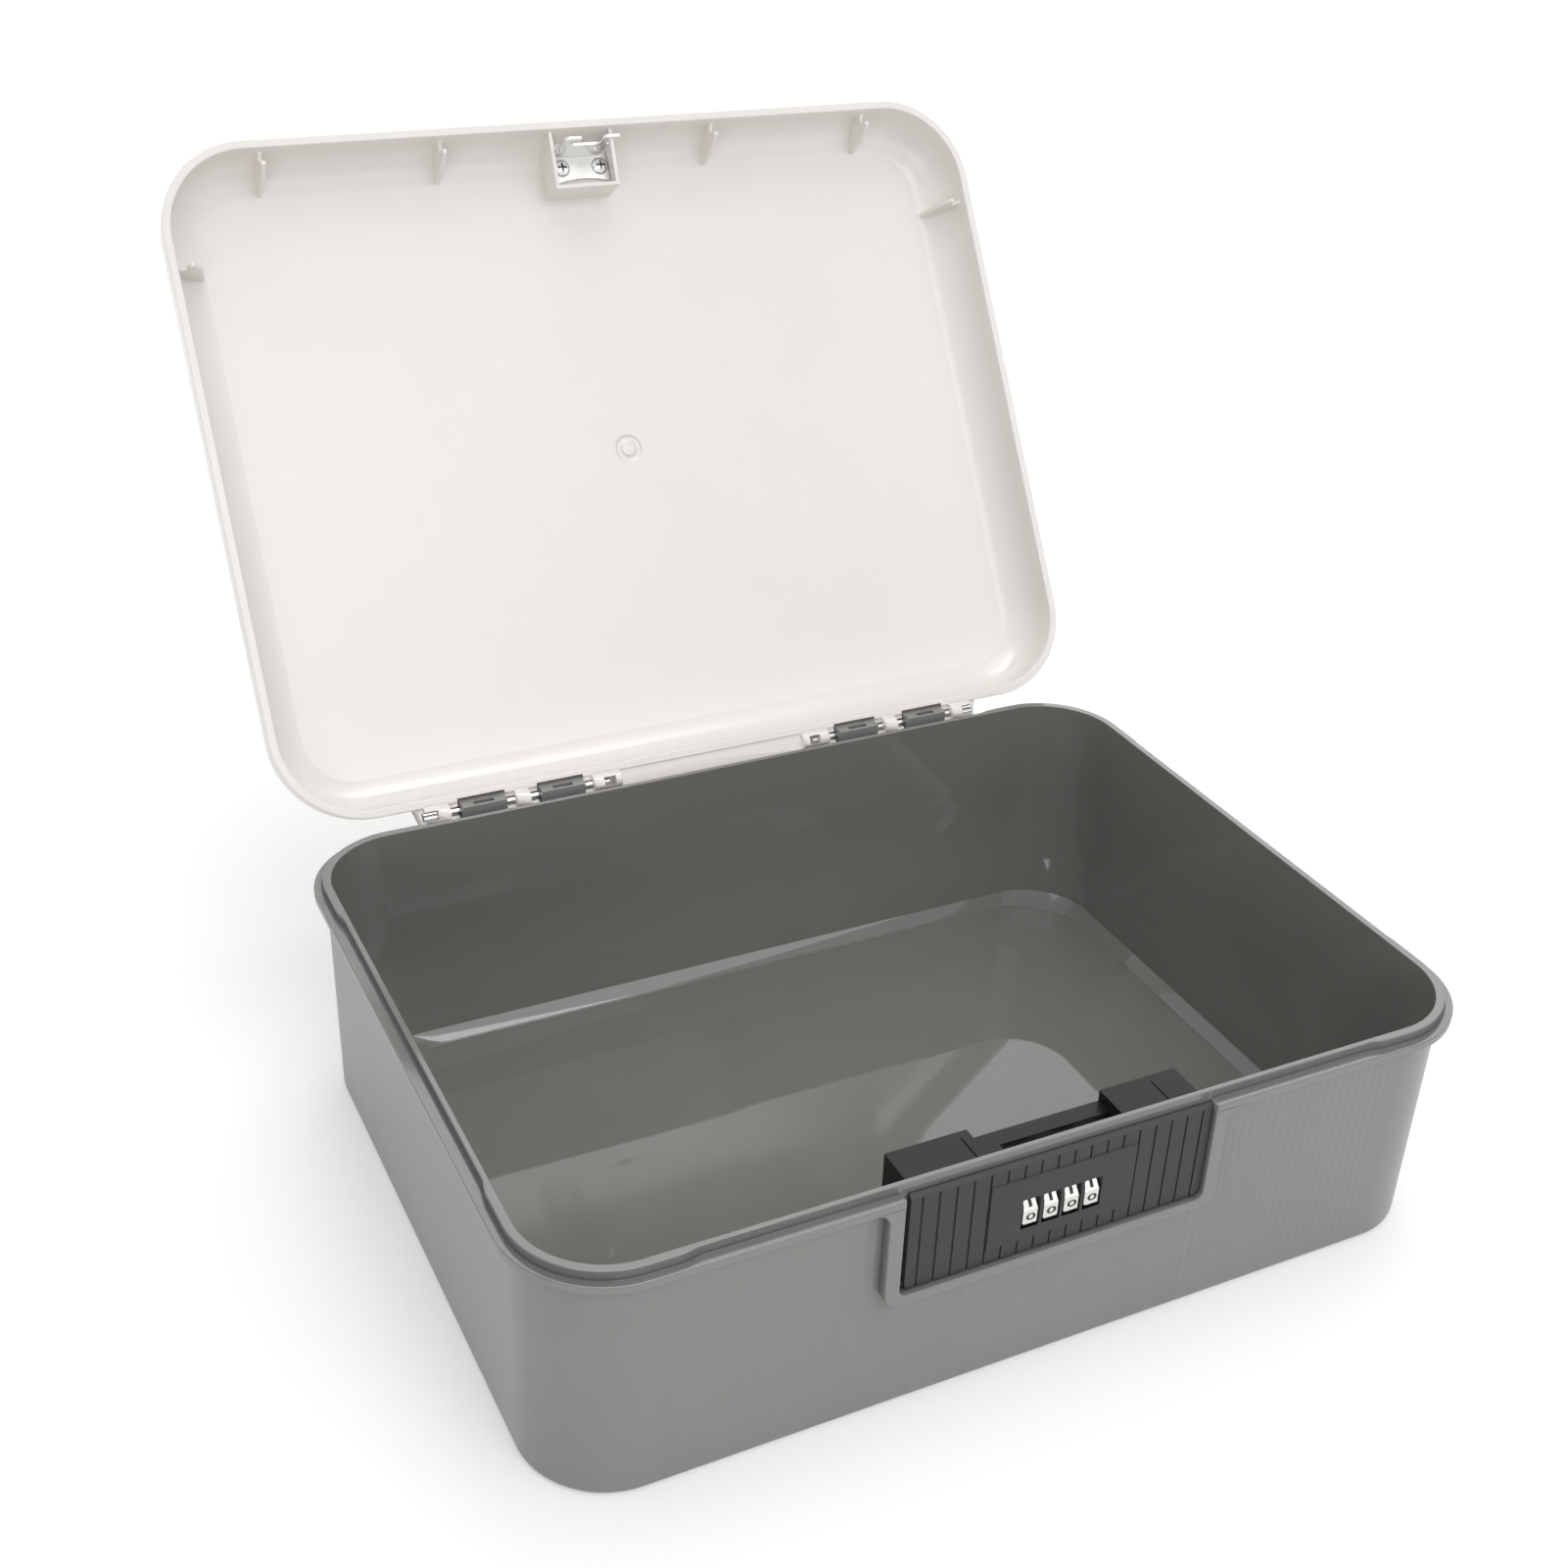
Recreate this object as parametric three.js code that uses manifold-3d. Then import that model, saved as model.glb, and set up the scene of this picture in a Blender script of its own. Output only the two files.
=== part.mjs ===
// Medication lock box: a moulded tub, a hinged lid and a four-dial sliding lock.
// Millimetres. +Z is up, +X is to the right of the lock, +Y is to the hinge.
// The origin is the centre of the underside. The lid stands open at its own stop.
import * as THREE from 'three';
import { mergeVertices } from 'three/addons/utils/BufferGeometryUtils.js';
import ManifoldModule from 'manifold-3d';

const kernel = await ManifoldModule();
kernel.setup();
const { Manifold, Mesh: SolidMesh } = kernel;

// Driving dimensions
const openingLength = 340; // mouth of the tub, inside the lip
const openingDepth = 254;
const openingRadius = 29.5;
const tubHeight = 93.3; // underside to the top of the lip
const wallThickness = 2.1;
const floorThickness = 2.6;
const ledgeDrop = 3.1; // lip top down to the ledge that carries the lid
const flangeThickness = 3;
const flangeReach = 6.5; // flange edge outside the mouth
const lidHeight = 25.2; // rim plane to the top of the crown
const lidReach = 6.8; // lid rim outside the mouth
const lockWidth = 112.4; // sliding face
const lockHeight = 37.4;
const slideTravel = 2.2; // sideways, released to locked
const dialCount = 4;
const dialPitch = 7.7;
const dialWidth = 5.6;
const dialFacetCount = 10;
const dialFlat = 8.3; // axis to a digit's flat
const pinRadius = 1.2; // hinge pins
const screwRadius = 1.3;
const gap = 0.3; // running clearance between two pieces
const fit = 0.06; // between pieces that stay put
const bite = 1; // how far a feature sinks into what carries it
const overrun = 1; // how far a cut runs past what it cuts
const edge = 0.5; // small rounding on moulded edges

// Places worked out from them
const halfX = openingLength / 2;
const halfY = openingDepth / 2;
const ledgeZ = tubHeight - ledgeDrop;
const flangeZ = ledgeZ - flangeThickness;
const rimZ = ledgeZ + gap; // underside of the lid's rim when shut
const lidBackY = halfY + lidReach;
const wallFrontY = -(halfY + wallThickness); // outer face of the front wall
const frameFrontY = -(halfY + flangeReach); // flange and lock frame face

// Hinge: the hood behind the lid closes on the flange's edge, and that is the open stop
const hingeBehind = 3.3; // pin axis behind the lid's back
const hingeAbove = 1.1; // and above its rim plane
const hoodDrop = 0.3; // hood's flat underside below the pin axis
const stopGap = 0.66; // between that underside and the flange when open
const hingeY = lidBackY + hingeBehind;
const hingeZ = rimZ + hingeAbove;
const stopBehind = hingeY - (halfY + flangeReach);
const stopBelow = hingeZ - (flangeZ + edge);
const openAngle = Math.atan2(stopBehind, stopBelow)
  + Math.acos((hoodDrop + stopGap) / Math.hypot(stopBehind, stopBelow));

// Helpers
const quarterTurn = Math.PI / 2;
const cylinderSteps = 24;

// A closed three.js geometry as a solid that can be joined and cut.
function solidOf(geometry) {
  geometry.deleteAttribute('normal');
  geometry.deleteAttribute('uv');
  const merged = mergeVertices(geometry);
  return new Manifold(new SolidMesh({
    numProp: 3,
    vertProperties: new Float32Array(merged.attributes.position.array),
    triVerts: new Uint32Array(merged.index.array),
  }));
}

// A solid's surface as a three.js geometry.
function geometryOf(solid) {
  const { vertProperties, triVerts } = solid.getMesh();
  const geometry = new THREE.BufferGeometry();
  geometry.setAttribute('position', new THREE.BufferAttribute(new Float32Array(vertProperties), 3));
  geometry.setIndex(new THREE.BufferAttribute(new Uint32Array(triVerts), 1));
  return geometry;
}

// The same solid seen in a mirror. Scales are 1 or -1, with one of them -1.
function mirrored(solid, scaleX, scaleY) {
  const geometry = geometryOf(solid).scale(scaleX, scaleY, 1);
  geometry.index.array.reverse();
  return solidOf(geometry);
}
const mirrorX = (solid) => mirrored(solid, -1, 1);
const mirrorY = (solid) => mirrored(solid, 1, -1);
const bothSides = (solid) => solid.add(mirrorX(solid));
const joinAll = (solids) => solids.reduce((whole, solid) => whole.add(solid));

// The mouth's rounded rectangle, moved outwards by offset and scaled by share, at height z.
const cornerSteps = 8;
function ring(offset, z, share = 1) {
  const radius = (openingRadius + offset) * share;
  const x = (halfX + offset) * share - radius;
  const y = (halfY + offset) * share - radius;
  const corners = [[x, y], [-x, y], [-x, -y], [x, -y]];
  return corners.flatMap(([cx, cy], quarter) =>
    Array.from({ length: cornerSteps + 1 }, (_, step) => {
      const angle = (quarter + step / cornerSteps) * quarterTurn;
      return [cx + radius * Math.cos(angle), cy + radius * Math.sin(angle), z];
    }));
}

// A closed solid through rings of equal length, capped at both ends.
function loft(rings) {
  const count = rings[0].length;
  const last = (rings.length - 1) * count;
  const first = last + count;
  const triangles = [];
  for (let i = 0; i < count; i += 1) {
    const next = (i + 1) % count;
    for (let base = 0; base < last; base += count) {
      triangles.push(base + i, base + next, base + next + count);
      triangles.push(base + i, base + next + count, base + i + count);
    }
    triangles.push(first, next, i, first + 1, last + i, last + next);
  }
  const caps = [[0, 0, rings[0][0][2]], [0, 0, rings.at(-1)[0][2]]];
  const geometry = new THREE.BufferGeometry();
  geometry.setAttribute('position', new THREE.Float32BufferAttribute([...rings.flat(), ...caps].flat(), 3));
  geometry.setIndex(triangles);
  return solidOf(geometry);
}

// Points on an arc, angles in degrees.
function arc(cx, cy, radius, from, to, steps) {
  return Array.from({ length: steps + 1 }, (_, step) => {
    const angle = THREE.MathUtils.degToRad(from + (to - from) * step / steps);
    return [cx + radius * Math.cos(angle), cy + radius * Math.sin(angle)];
  });
}

// An outline on the right, closed by its mirror image on the left.
const bothHalves = (side) => [...side, ...side.map(([x, z]) => [-x, z]).reverse()];

// A box from its lowest to its highest corner.
function box(low, high) {
  const size = high.map((value, axis) => value - low[axis]);
  const middle = high.map((value, axis) => (value + low[axis]) / 2);
  return solidOf(new THREE.BoxGeometry(...size).translate(...middle));
}

// Prisms of a flat outline: (y, z) drawn out along X, (x, z) along Y, (x, y) along Z.
function prism(points, depth) {
  const outline = new THREE.Shape(points.map(([u, v]) => new THREE.Vector2(u, v)));
  return new THREE.ExtrudeGeometry(outline, { depth, bevelEnabled: false });
}
function alongX(points, x0, x1) {
  return solidOf(prism(points, x1 - x0).rotateX(quarterTurn).rotateZ(quarterTurn).translate(x0, 0, 0));
}
function alongY(points, y0, y1) {
  return solidOf(prism(points, y1 - y0).rotateX(quarterTurn).translate(0, y1, 0));
}
function alongZ(points, z0, z1) {
  return solidOf(prism(points, z1 - z0).translate(0, 0, z0));
}

// Round bars whose axis runs along X, Y or Z.
function bar(length, radius, steps = cylinderSteps) {
  return new THREE.CylinderGeometry(radius, radius, length, steps);
}
function barX(x0, x1, y, z, radius, steps) {
  return solidOf(bar(x1 - x0, radius, steps).rotateZ(-quarterTurn).translate((x0 + x1) / 2, y, z));
}
function barY(y0, y1, x, z, radius, steps) {
  return solidOf(bar(y1 - y0, radius, steps).translate(x, (y0 + y1) / 2, z));
}
function barZ(z0, z1, x, y, radius, steps) {
  return solidOf(bar(z1 - z0, radius, steps).rotateX(quarterTurn).translate(x, y, (z0 + z1) / 2));
}

// The sliding group and the lid move as wholes, and each is drawn in the tub's own frame
const lockBox = new THREE.Group();
lockBox.name = 'medication_lock_box';
const slider = new THREE.Group();
slider.position.x = slideTravel / 2;
const hinge = new THREE.Group();
hinge.position.set(0, hingeY, hingeZ);
hinge.rotation.x = -openAngle;
const lid = new THREE.Group();
lid.position.set(0, -hingeY, -hingeZ);
hinge.add(lid);
lockBox.add(slider, hinge);

function addPiece(parent, name, solid, material) {
  const geometry = geometryOf(solid);
  geometry.computeVertexNormals();
  const piece = new THREE.Mesh(geometry, material);
  piece.name = name;
  parent.add(piece);
  return piece;
}

const greyPlastic = new THREE.MeshStandardMaterial({ color: 0x8f8e8c, roughness: 0.4 });
const whitePlastic = new THREE.MeshStandardMaterial({ color: 0xf0ede9, roughness: 0.4 });
const blackPlastic = new THREE.MeshStandardMaterial({ color: 0x2b2b2b, roughness: 0.5 });
const brightSteel = new THREE.MeshStandardMaterial({ color: 0xcfd0d2, metalness: 1, roughness: 0.25 });

// Pan-head screw with a cross recess, drawn with its shank up the +Z axis from the head's seat
const crossWidth = 0.8;
const crownShare = 0.72;
function panScrew(headRadius, headHeight, shankRadius, shankLength) {
  const dome = new THREE.CylinderGeometry(headRadius, headRadius * crownShare, headHeight, cylinderSteps);
  const head = solidOf(dome.rotateX(quarterTurn).translate(0, 0, -headHeight / 2));
  const reach = headRadius / 2;
  const half = crossWidth / 2;
  const slotX = box([-reach, -half, -headHeight - overrun], [reach, half, -headHeight / 2]);
  const slotY = box([-half, -reach, -headHeight - overrun], [half, reach, -headHeight / 2]);
  const shank = barZ(-headHeight / 4, shankLength, 0, 0, shankRadius, cylinderSteps / 2);
  return head.subtract(slotX).subtract(slotY).add(shank);
}

// Tub: one profile carried round the mouth, up the outside, over the lip and down to the floor
const wallDraft = 0.5; // how far the wall leans in, from its top to its foot
const footRadius = 2.5;
const floorFillet = 19.3;
const floorFilletTurn = 70; // degrees, and it meets the floor at a crease
const innerLean = 0.4;
const lipThin = 1.9;
const wallFoot = wallThickness - wallDraft;
const floorFilletRise = floorFillet * Math.sin(THREE.MathUtils.degToRad(floorFilletTurn));
const tubProfile = [
  ...arc(wallFoot - footRadius, footRadius, footRadius, -90, 0, 4),
  [wallThickness, flangeZ],
  [flangeReach - edge, flangeZ],
  [flangeReach, flangeZ + edge],
  [flangeReach, ledgeZ - edge],
  [flangeReach - edge, ledgeZ],
  [lipThin, ledgeZ],
  [lipThin, tubHeight - edge],
  [lipThin - edge, tubHeight],
  [edge, tubHeight],
  [0, tubHeight - edge],
  ...arc(-innerLean - floorFillet, floorThickness + floorFilletRise, floorFillet, 0, -floorFilletTurn, 7),
];
const tubBody = loft(tubProfile.map(([offset, z]) => ring(offset, z)));

// The lip is thicker round each corner, and eases to the thin lip at a slanted jog
const lipThick = 3.1;
const jogInsetX = 43.5; // from the side of the mouth to the middle of the jog
const jogInsetY = 48;
const jogHalf = 4;
const jogX = halfX - jogInsetX;
const jogY = halfY - jogInsetY;
const lipCornerRing = loft([
  [lipThin - bite, ledgeZ - edge],
  [lipThick, ledgeZ - edge],
  [lipThick, tubHeight - edge],
  [lipThick - edge, tubHeight],
  [lipThin - bite, tubHeight],
].map(([offset, z]) => ring(offset, z)));
const lipCornerHole = loft([
  ring(lipThin - bite, ledgeZ - overrun),
  ring(lipThin - bite, tubHeight + overrun),
]);
const lipCornerZone = alongZ([
  [jogX - jogHalf, halfY + lipThin],
  [jogX + jogHalf, halfY + lipThick + edge],
  [halfX + flangeReach, halfY + flangeReach],
  [halfX + lipThick + edge, jogY + jogHalf],
  [halfX + lipThin, jogY - jogHalf],
  [halfX - openingRadius, jogY - jogHalf],
  [jogX - jogHalf, halfY - openingRadius],
], ledgeZ - overrun, tubHeight + overrun);
const lipCorner = lipCornerRing.subtract(lipCornerHole).intersect(lipCornerZone);
const lipCornerPair = bothSides(lipCorner);
const lipCorners = lipCornerPair.add(mirrorY(lipCornerPair));

// Lock frame: the flange turns down and runs round the recess for the sliding face
const faceDrop = 0.4; // sliding face's top below the ledge
const recessFoot = 1; // recess below the sliding face
const recessCorner = 3;
const frameSideWidth = 5.2;
const frameFoot = 3.8;
const frameCorner = 6;
const frameFillet = 5;
const faceTopZ = ledgeZ - faceDrop;
const faceFloorZ = faceTopZ - lockHeight;
const recessHalf = lockWidth / 2 + slideTravel / 2 + gap;
const recessFloorZ = faceFloorZ - recessFoot;
const frameHalf = recessHalf + frameSideWidth;
const frameFloorZ = recessFloorZ - frameFoot;
const lockFrame = alongY(bothHalves([
  [frameHalf + frameFillet, ledgeZ - edge],
  [frameHalf + frameFillet, flangeZ],
  ...arc(frameHalf + frameFillet, flangeZ - frameFillet, frameFillet, 90, 180, 5),
  ...arc(frameHalf - frameCorner, frameFloorZ + frameCorner, frameCorner, 0, -90, 6),
]), frameFrontY, wallFrontY + bite);
const lockRecess = alongY(bothHalves([
  [recessHalf, ledgeZ + overrun],
  ...arc(recessHalf - recessCorner, recessFloorZ + recessCorner, recessCorner, 0, -90, 4),
]), frameFrontY - overrun, wallFrontY);

// Where the dials stand in the lock
const dialAxisUp = 14.4; // above the foot of the sliding face
const faceSink = 1.8; // sliding face behind the frame
const panelRise = 0.4; // raised panel between the ribbed ends
const dialProud = 0.1; // digit's flat before the panel
const faceFrontY = frameFrontY + faceSink;
const faceBackY = wallFrontY - gap;
const dialAxisY = faceFrontY - panelRise - dialProud + dialFlat;
const dialAxisZ = faceFloorZ + dialAxisUp;
const dialTip = dialFlat / Math.cos(Math.PI / dialFacetCount);
const dialXs = Array.from({ length: dialCount }, (_, i) => (i - (dialCount - 1) / 2) * dialPitch);

// Opening in the front wall for the dials and the posts of the sliding face
const postInset = 14.2; // outside of each post from the end of the sliding face
const postWidth = 8;
const postOuter = lockWidth / 2 - postInset;
const postInner = postOuter - postWidth;
const openingEase = 1.4;
const openingHead = 0.7; // wall left under the flange
const wallOpeningHalf = postOuter + slideTravel / 2 + openingEase;
const wallOpeningFloorZ = dialAxisZ - dialTip - openingEase;
const wallOpening = box(
  [-wallOpeningHalf, wallFrontY - overrun, wallOpeningFloorZ],
  [wallOpeningHalf, -halfY + overrun, flangeZ - openingHead],
);

// Bosses inside the front wall that take the housing's screws
const housingMargin = 10; // housing past the wall opening
const housingFoot = 6.7; // and below it
const housingScrewInset = 5.5;
const housingScrewUp = 6;
const housingScrewSpan = 19;
const housingHalf = wallOpeningHalf + housingMargin;
const housingFloorZ = wallOpeningFloorZ - housingFoot;
const housingScrewX = housingHalf - housingScrewInset;
const housingScrewZ = housingFloorZ + housingScrewUp;
const housingScrews = [housingScrewX, -housingScrewX]
  .flatMap((x) => [[x, housingScrewZ], [x, housingScrewZ + housingScrewSpan]]);
const bossRadius = 3;
const bossLength = 7.7;
const bossEndY = -halfY + bossLength;
const wallBosses = joinAll(housingScrews.map(([x, z]) =>
  barY(wallFrontY + bite, bossEndY, x, z, bossRadius)));
const wallBossHoles = joinAll(housingScrews.map(([x, z]) =>
  barY(-halfY + gap, bossEndY + overrun, x, z, screwRadius + fit)));

// Hinge ears on the back flange, two pairs, each with a moulding slot in its crown
const railInset = 14; // end of the lid's hinge rail from the straight's end
const earInset = 26.7; // outer ear's centre from the end of the rail
const earPitch = 33;
const earHalf = 9.2;
const earRadius = 4; // behind and below the pin
const earTop = 3.2; // flat top above the pin axis
const earFront = 3.6; // front face ahead of it
const earSlotLength = 8.3;
const earSlotWidth = 1.7;
const earSlotDepth = 2.2;
const earSlotSkin = 0.5; // left between the slot and the front face
const railHalf = halfX - openingRadius - railInset;
const outerEarX = railHalf - earInset;
const innerEarX = outerEarX - earPitch;
const earXs = [-outerEarX, -innerEarX, innerEarX, outerEarX];
const earRootY = halfY + flangeReach - bite;
const earTopAngle = THREE.MathUtils.radToDeg(Math.asin(earTop / earRadius));
const earFrontY = hingeY - earFront;
const earTopZ = hingeZ + earTop;
const earSlotY = earFrontY + earSlotSkin;
const earOutline = [
  [earRootY, flangeZ],
  ...arc(hingeY, hingeZ, earRadius, -90, earTopAngle, 12),
  ...arc(earFrontY + edge, earTopZ - edge, edge, 90, 180, 3),
  [earFrontY, ledgeZ],
  [earRootY, ledgeZ],
];
const ears = joinAll(earXs.map((x) => alongX(earOutline, x - earHalf, x + earHalf)));
const earHoles = joinAll(earXs.map((x) =>
  barX(x - earHalf - overrun, x + earHalf + overrun, hingeY, hingeZ, pinRadius + gap / 2)));
const earSlots = joinAll(earXs.map((x) => box(
  [x - earSlotLength / 2, earSlotY, earTopZ - earSlotDepth],
  [x + earSlotLength / 2, earSlotY + earSlotWidth, earTopZ + overrun],
)));

addPiece(lockBox, 'tub_shell', tubBody.add(lipCorners).add(lockFrame).subtract(lockRecess)
  .add(wallBosses).subtract(wallOpening).subtract(wallBossHoles)
  .add(ears).subtract(earHoles).subtract(earSlots), greyPlastic);

// Sliding lock face, drawn midway in its recess
const faceHalf = lockWidth / 2;
const faceBevel = 1.4;
const faceCorner = 2;
const groovePitch = 6.13;
const grooveCount = 18;
const shortGrooveCount = 8; // stopped by the raised panel
const grooveWidth = 0.7;
const grooveDepth = 0.6;
const panelHead = 6.6; // face above the panel
const panelFoot = 5.6;
const panelHalf = groovePitch * (shortGrooveCount + 1) / 2;
const panelTopZ = faceTopZ - panelHead;
const panelFloorZ = faceFloorZ + panelFoot;
const faceSlab = alongX([
  [faceFrontY, faceFloorZ],
  [faceFrontY, faceTopZ - faceBevel],
  [faceFrontY + faceBevel, faceTopZ],
  [faceBackY, faceTopZ],
  [faceBackY, faceFloorZ],
], -faceHalf, faceHalf);
const faceTrim = alongY(bothHalves([
  [faceHalf, faceTopZ + overrun],
  ...arc(faceHalf - faceCorner, faceFloorZ + faceCorner, faceCorner, 0, -90, 4),
]), faceFrontY - overrun, faceBackY + overrun);
const facePanel = box(
  [-panelHalf, faceFrontY - panelRise, panelFloorZ],
  [panelHalf, faceFrontY + bite, panelTopZ],
);
const grooveXs = Array.from({ length: grooveCount }, (_, i) => (i - (grooveCount - 1) / 2) * groovePitch);
const grooves = joinAll(grooveXs.flatMap((x) => {
  const groove = (z0, z1) => box(
    [x - grooveWidth / 2, faceFrontY - overrun, z0],
    [x + grooveWidth / 2, faceFrontY + grooveDepth, z1],
  );
  const topZ = faceTopZ - faceBevel;
  const footZ = faceFloorZ - overrun;
  if (Math.abs(x) > panelHalf - groovePitch / 2) return [groove(footZ, topZ)];
  return [groove(panelTopZ, topZ), groove(footZ, panelFloorZ)];
}));

// Dial windows, and the hollow behind them in which each dial turns free of the plate
const windowEase = 0.55; // each side of a dial
const windowUp = 7.4; // above the dial axis
const windowDown = 4.6;
const windowHalf = dialWidth / 2 + windowEase;
const dialWindows = joinAll(dialXs.map((x) => box(
  [x - windowHalf, faceFrontY - panelRise - overrun, dialAxisZ - windowDown],
  [x + windowHalf, faceBackY + overrun, dialAxisZ + windowUp],
)));
const dialHollows = joinAll(dialXs.map((x) =>
  barX(x - windowHalf, x + windowHalf, dialAxisY, dialAxisZ, dialTip + gap)));

// Behind the plate two cheeks hold the dial shaft, and two posts carry the latch strip
const shaftRadius = 2.4;
const cheekThickness = 3;
const cheekReach = 6.75; // above and below the dial axis
const cheekInner = dialXs.at(-1) + dialPitch / 2 + gap;
const cheekOuter = cheekInner + cheekThickness;
const cheekBackY = dialAxisY + dialTip + gap / 2;
const latchDrop = 6.4; // latch strip's underside below the lid's rim plane
const latchZ = rimZ - latchDrop;
const latchThickness = 1.2;
const postHeight = 10;
const postDepth = 8.6; // into the tub from the wall's inner face
const latchScrewInset = 3.8;
const latchScrewLength = 7;
const latchScrewX = (postInner + postOuter) / 2;
const latchScrewY = -halfY + latchScrewInset;
const cheek = box(
  [cheekInner, faceBackY - bite, dialAxisZ - cheekReach],
  [cheekOuter, cheekBackY, dialAxisZ + cheekReach],
).subtract(barX(cheekInner - overrun, cheekOuter + overrun, dialAxisY, dialAxisZ, shaftRadius + fit));
const post = box(
  [postInner, faceBackY - bite, latchZ - postHeight],
  [postOuter, -halfY + postDepth, latchZ - fit],
);
const postHole = barZ(latchZ - latchScrewLength, latchZ + overrun,
  latchScrewX, latchScrewY, screwRadius + fit, cylinderSteps / 2);
addPiece(slider, 'lock_face', faceSlab.intersect(faceTrim).add(facePanel).subtract(grooves)
  .subtract(dialWindows).subtract(dialHollows)
  .add(bothSides(cheek)).add(bothSides(post)).subtract(bothSides(postHole)), blackPlastic);

// Strike hooks, which the latch strip and the housing's slot are cut to suit
const strikeHalf = 12.2;
const strikeThickness = 1.2;
const strikeInset = 3.8; // strike's front from the front wall's inner face
const hookPitch = 16.8;
const hookStem = 3.4;
const hookNose = 3.6;
const hookEase = 0.7; // beside a hook in the strip's window
const hookEaseY = 1.7; // before and behind it
const latchWidth = 8.4;
const hookXs = [-strikeHalf, hookPitch - strikeHalf]; // left side of each hook
const strikeFrontY = -halfY + strikeInset;

// Steel latch strip: its windows let the hooks through, and shift over their noses
const latchHalf = postOuter + postWidth;
const latchBackY = -halfY + gap + latchWidth;
const latchPlate = box([-latchHalf, -halfY + gap, latchZ], [latchHalf, latchBackY, latchZ + latchThickness]);
const latchWindows = joinAll(hookXs.map((x) => box(
  [x - slideTravel / 2 - hookEase, strikeFrontY - hookEaseY, latchZ - overrun],
  [x - slideTravel / 2 + hookStem + hookNose + hookEase,
    strikeFrontY + strikeThickness + hookEaseY, latchZ + latchThickness + overrun],
)));
const latchHole = barZ(latchZ - overrun, latchZ + latchThickness + overrun,
  latchScrewX, latchScrewY, screwRadius + gap, cylinderSteps / 2);
addPiece(slider, 'latch_strip',
  latchPlate.subtract(latchWindows).subtract(bothSides(latchHole)), brightSteel);

const smallHeadRadius = 2.5;
const smallHeadHeight = 1.5;
const latchScrew = panScrew(smallHeadRadius, smallHeadHeight, screwRadius, latchScrewLength);
[['right', latchScrewX], ['left', -latchScrewX]].forEach(([side, x]) => {
  const screw = addPiece(slider, `latch_screw_${side}`, latchScrew, brightSteel);
  screw.rotation.x = Math.PI;
  screw.position.set(x, latchScrewY, latchZ + latchThickness + fit);
});

// Dial shaft with an open clip at each end
const shaftEnd = 2; // past the cheek
const clipRadius = 3.7;
const clipThickness = 0.8;
const clipGroove = 0.5;
const clipStand = 0.2; // off the cheek
const clipMouth = 1.6;
const shaftHalf = cheekOuter + shaftEnd;
const clipX = cheekOuter + clipStand;
const clipEndX = clipX + clipThickness;
const grooveRadius = shaftRadius - clipGroove;
const clipSeat = barX(clipX - fit, clipEndX + fit, dialAxisY, dialAxisZ, shaftRadius + overrun)
  .subtract(barX(clipX - overrun, clipEndX + overrun, dialAxisY, dialAxisZ, grooveRadius));
addPiece(slider, 'dial_shaft', barX(-shaftHalf, shaftHalf, dialAxisY, dialAxisZ, shaftRadius)
  .subtract(bothSides(clipSeat)), brightSteel);
const clip = barX(clipX, clipEndX, dialAxisY, dialAxisZ, clipRadius)
  .subtract(barX(clipX - overrun, clipEndX + overrun, dialAxisY, dialAxisZ, grooveRadius + fit))
  .subtract(box([clipX - overrun, dialAxisY - clipMouth, dialAxisZ - clipRadius - overrun],
    [clipEndX + overrun, dialAxisY + clipMouth, dialAxisZ]));
addPiece(slider, 'shaft_clip_right', clip, brightSteel);
addPiece(slider, 'shaft_clip_left', mirrorX(clip), brightSteel);

// Sprung comb behind the dials: one finger for each dial, between two end tabs
const combThickness = 0.4;
const combSpine = 3;
const fingerHalf = 1.6;
const combFrontY = cheekBackY + fit;
const combBackY = combFrontY + combThickness;
const combFloorZ = dialAxisZ - cheekReach;
const combTopZ = dialAxisZ + cheekReach;
const combPlate = box([-cheekOuter, combFrontY, combTopZ - combSpine], [cheekOuter, combBackY, combTopZ]);
const combTab = box([cheekInner, combFrontY, combFloorZ], [cheekOuter, combBackY, combTopZ]);
const combFingers = joinAll(dialXs.map((x) =>
  box([x - fingerHalf, combFrontY, combFloorZ], [x + fingerHalf, combBackY, combTopZ])));
addPiece(slider, 'detent_comb', combPlate.add(combFingers).add(bothSides(combTab)), brightSteel);

// Dials: ten flats each, on a hub that spaces it from its neighbours
const hubRadius = 4.2;
const hubPlay = 0.1;
const dialRim = 0.5;
const hubHalf = dialPitch / 2 - hubPlay;
const dialProfile = [
  [shaftRadius + bite, -dialWidth / 2],
  [dialTip - dialRim, -dialWidth / 2],
  [dialTip, dialRim - dialWidth / 2],
  [dialTip, dialWidth / 2 - dialRim],
  [dialTip - dialRim, dialWidth / 2],
  [shaftRadius + bite, dialWidth / 2],
  [shaftRadius + bite, -dialWidth / 2],
].map(([radius, height]) => new THREE.Vector2(radius, height));
const dialBody = solidOf(new THREE.LatheGeometry(dialProfile, dialFacetCount).rotateZ(-quarterTurn));
const dial = dialBody.add(barX(-hubHalf, hubHalf, 0, 0, hubRadius))
  .subtract(barX(-dialPitch, dialPitch, 0, 0, shaftRadius + gap / 2));
dialXs.forEach((x, index) => {
  addPiece(slider, `dial_${index + 1}`, dial, brightSteel).position.set(x, dialAxisY, dialAxisZ);
});

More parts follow.
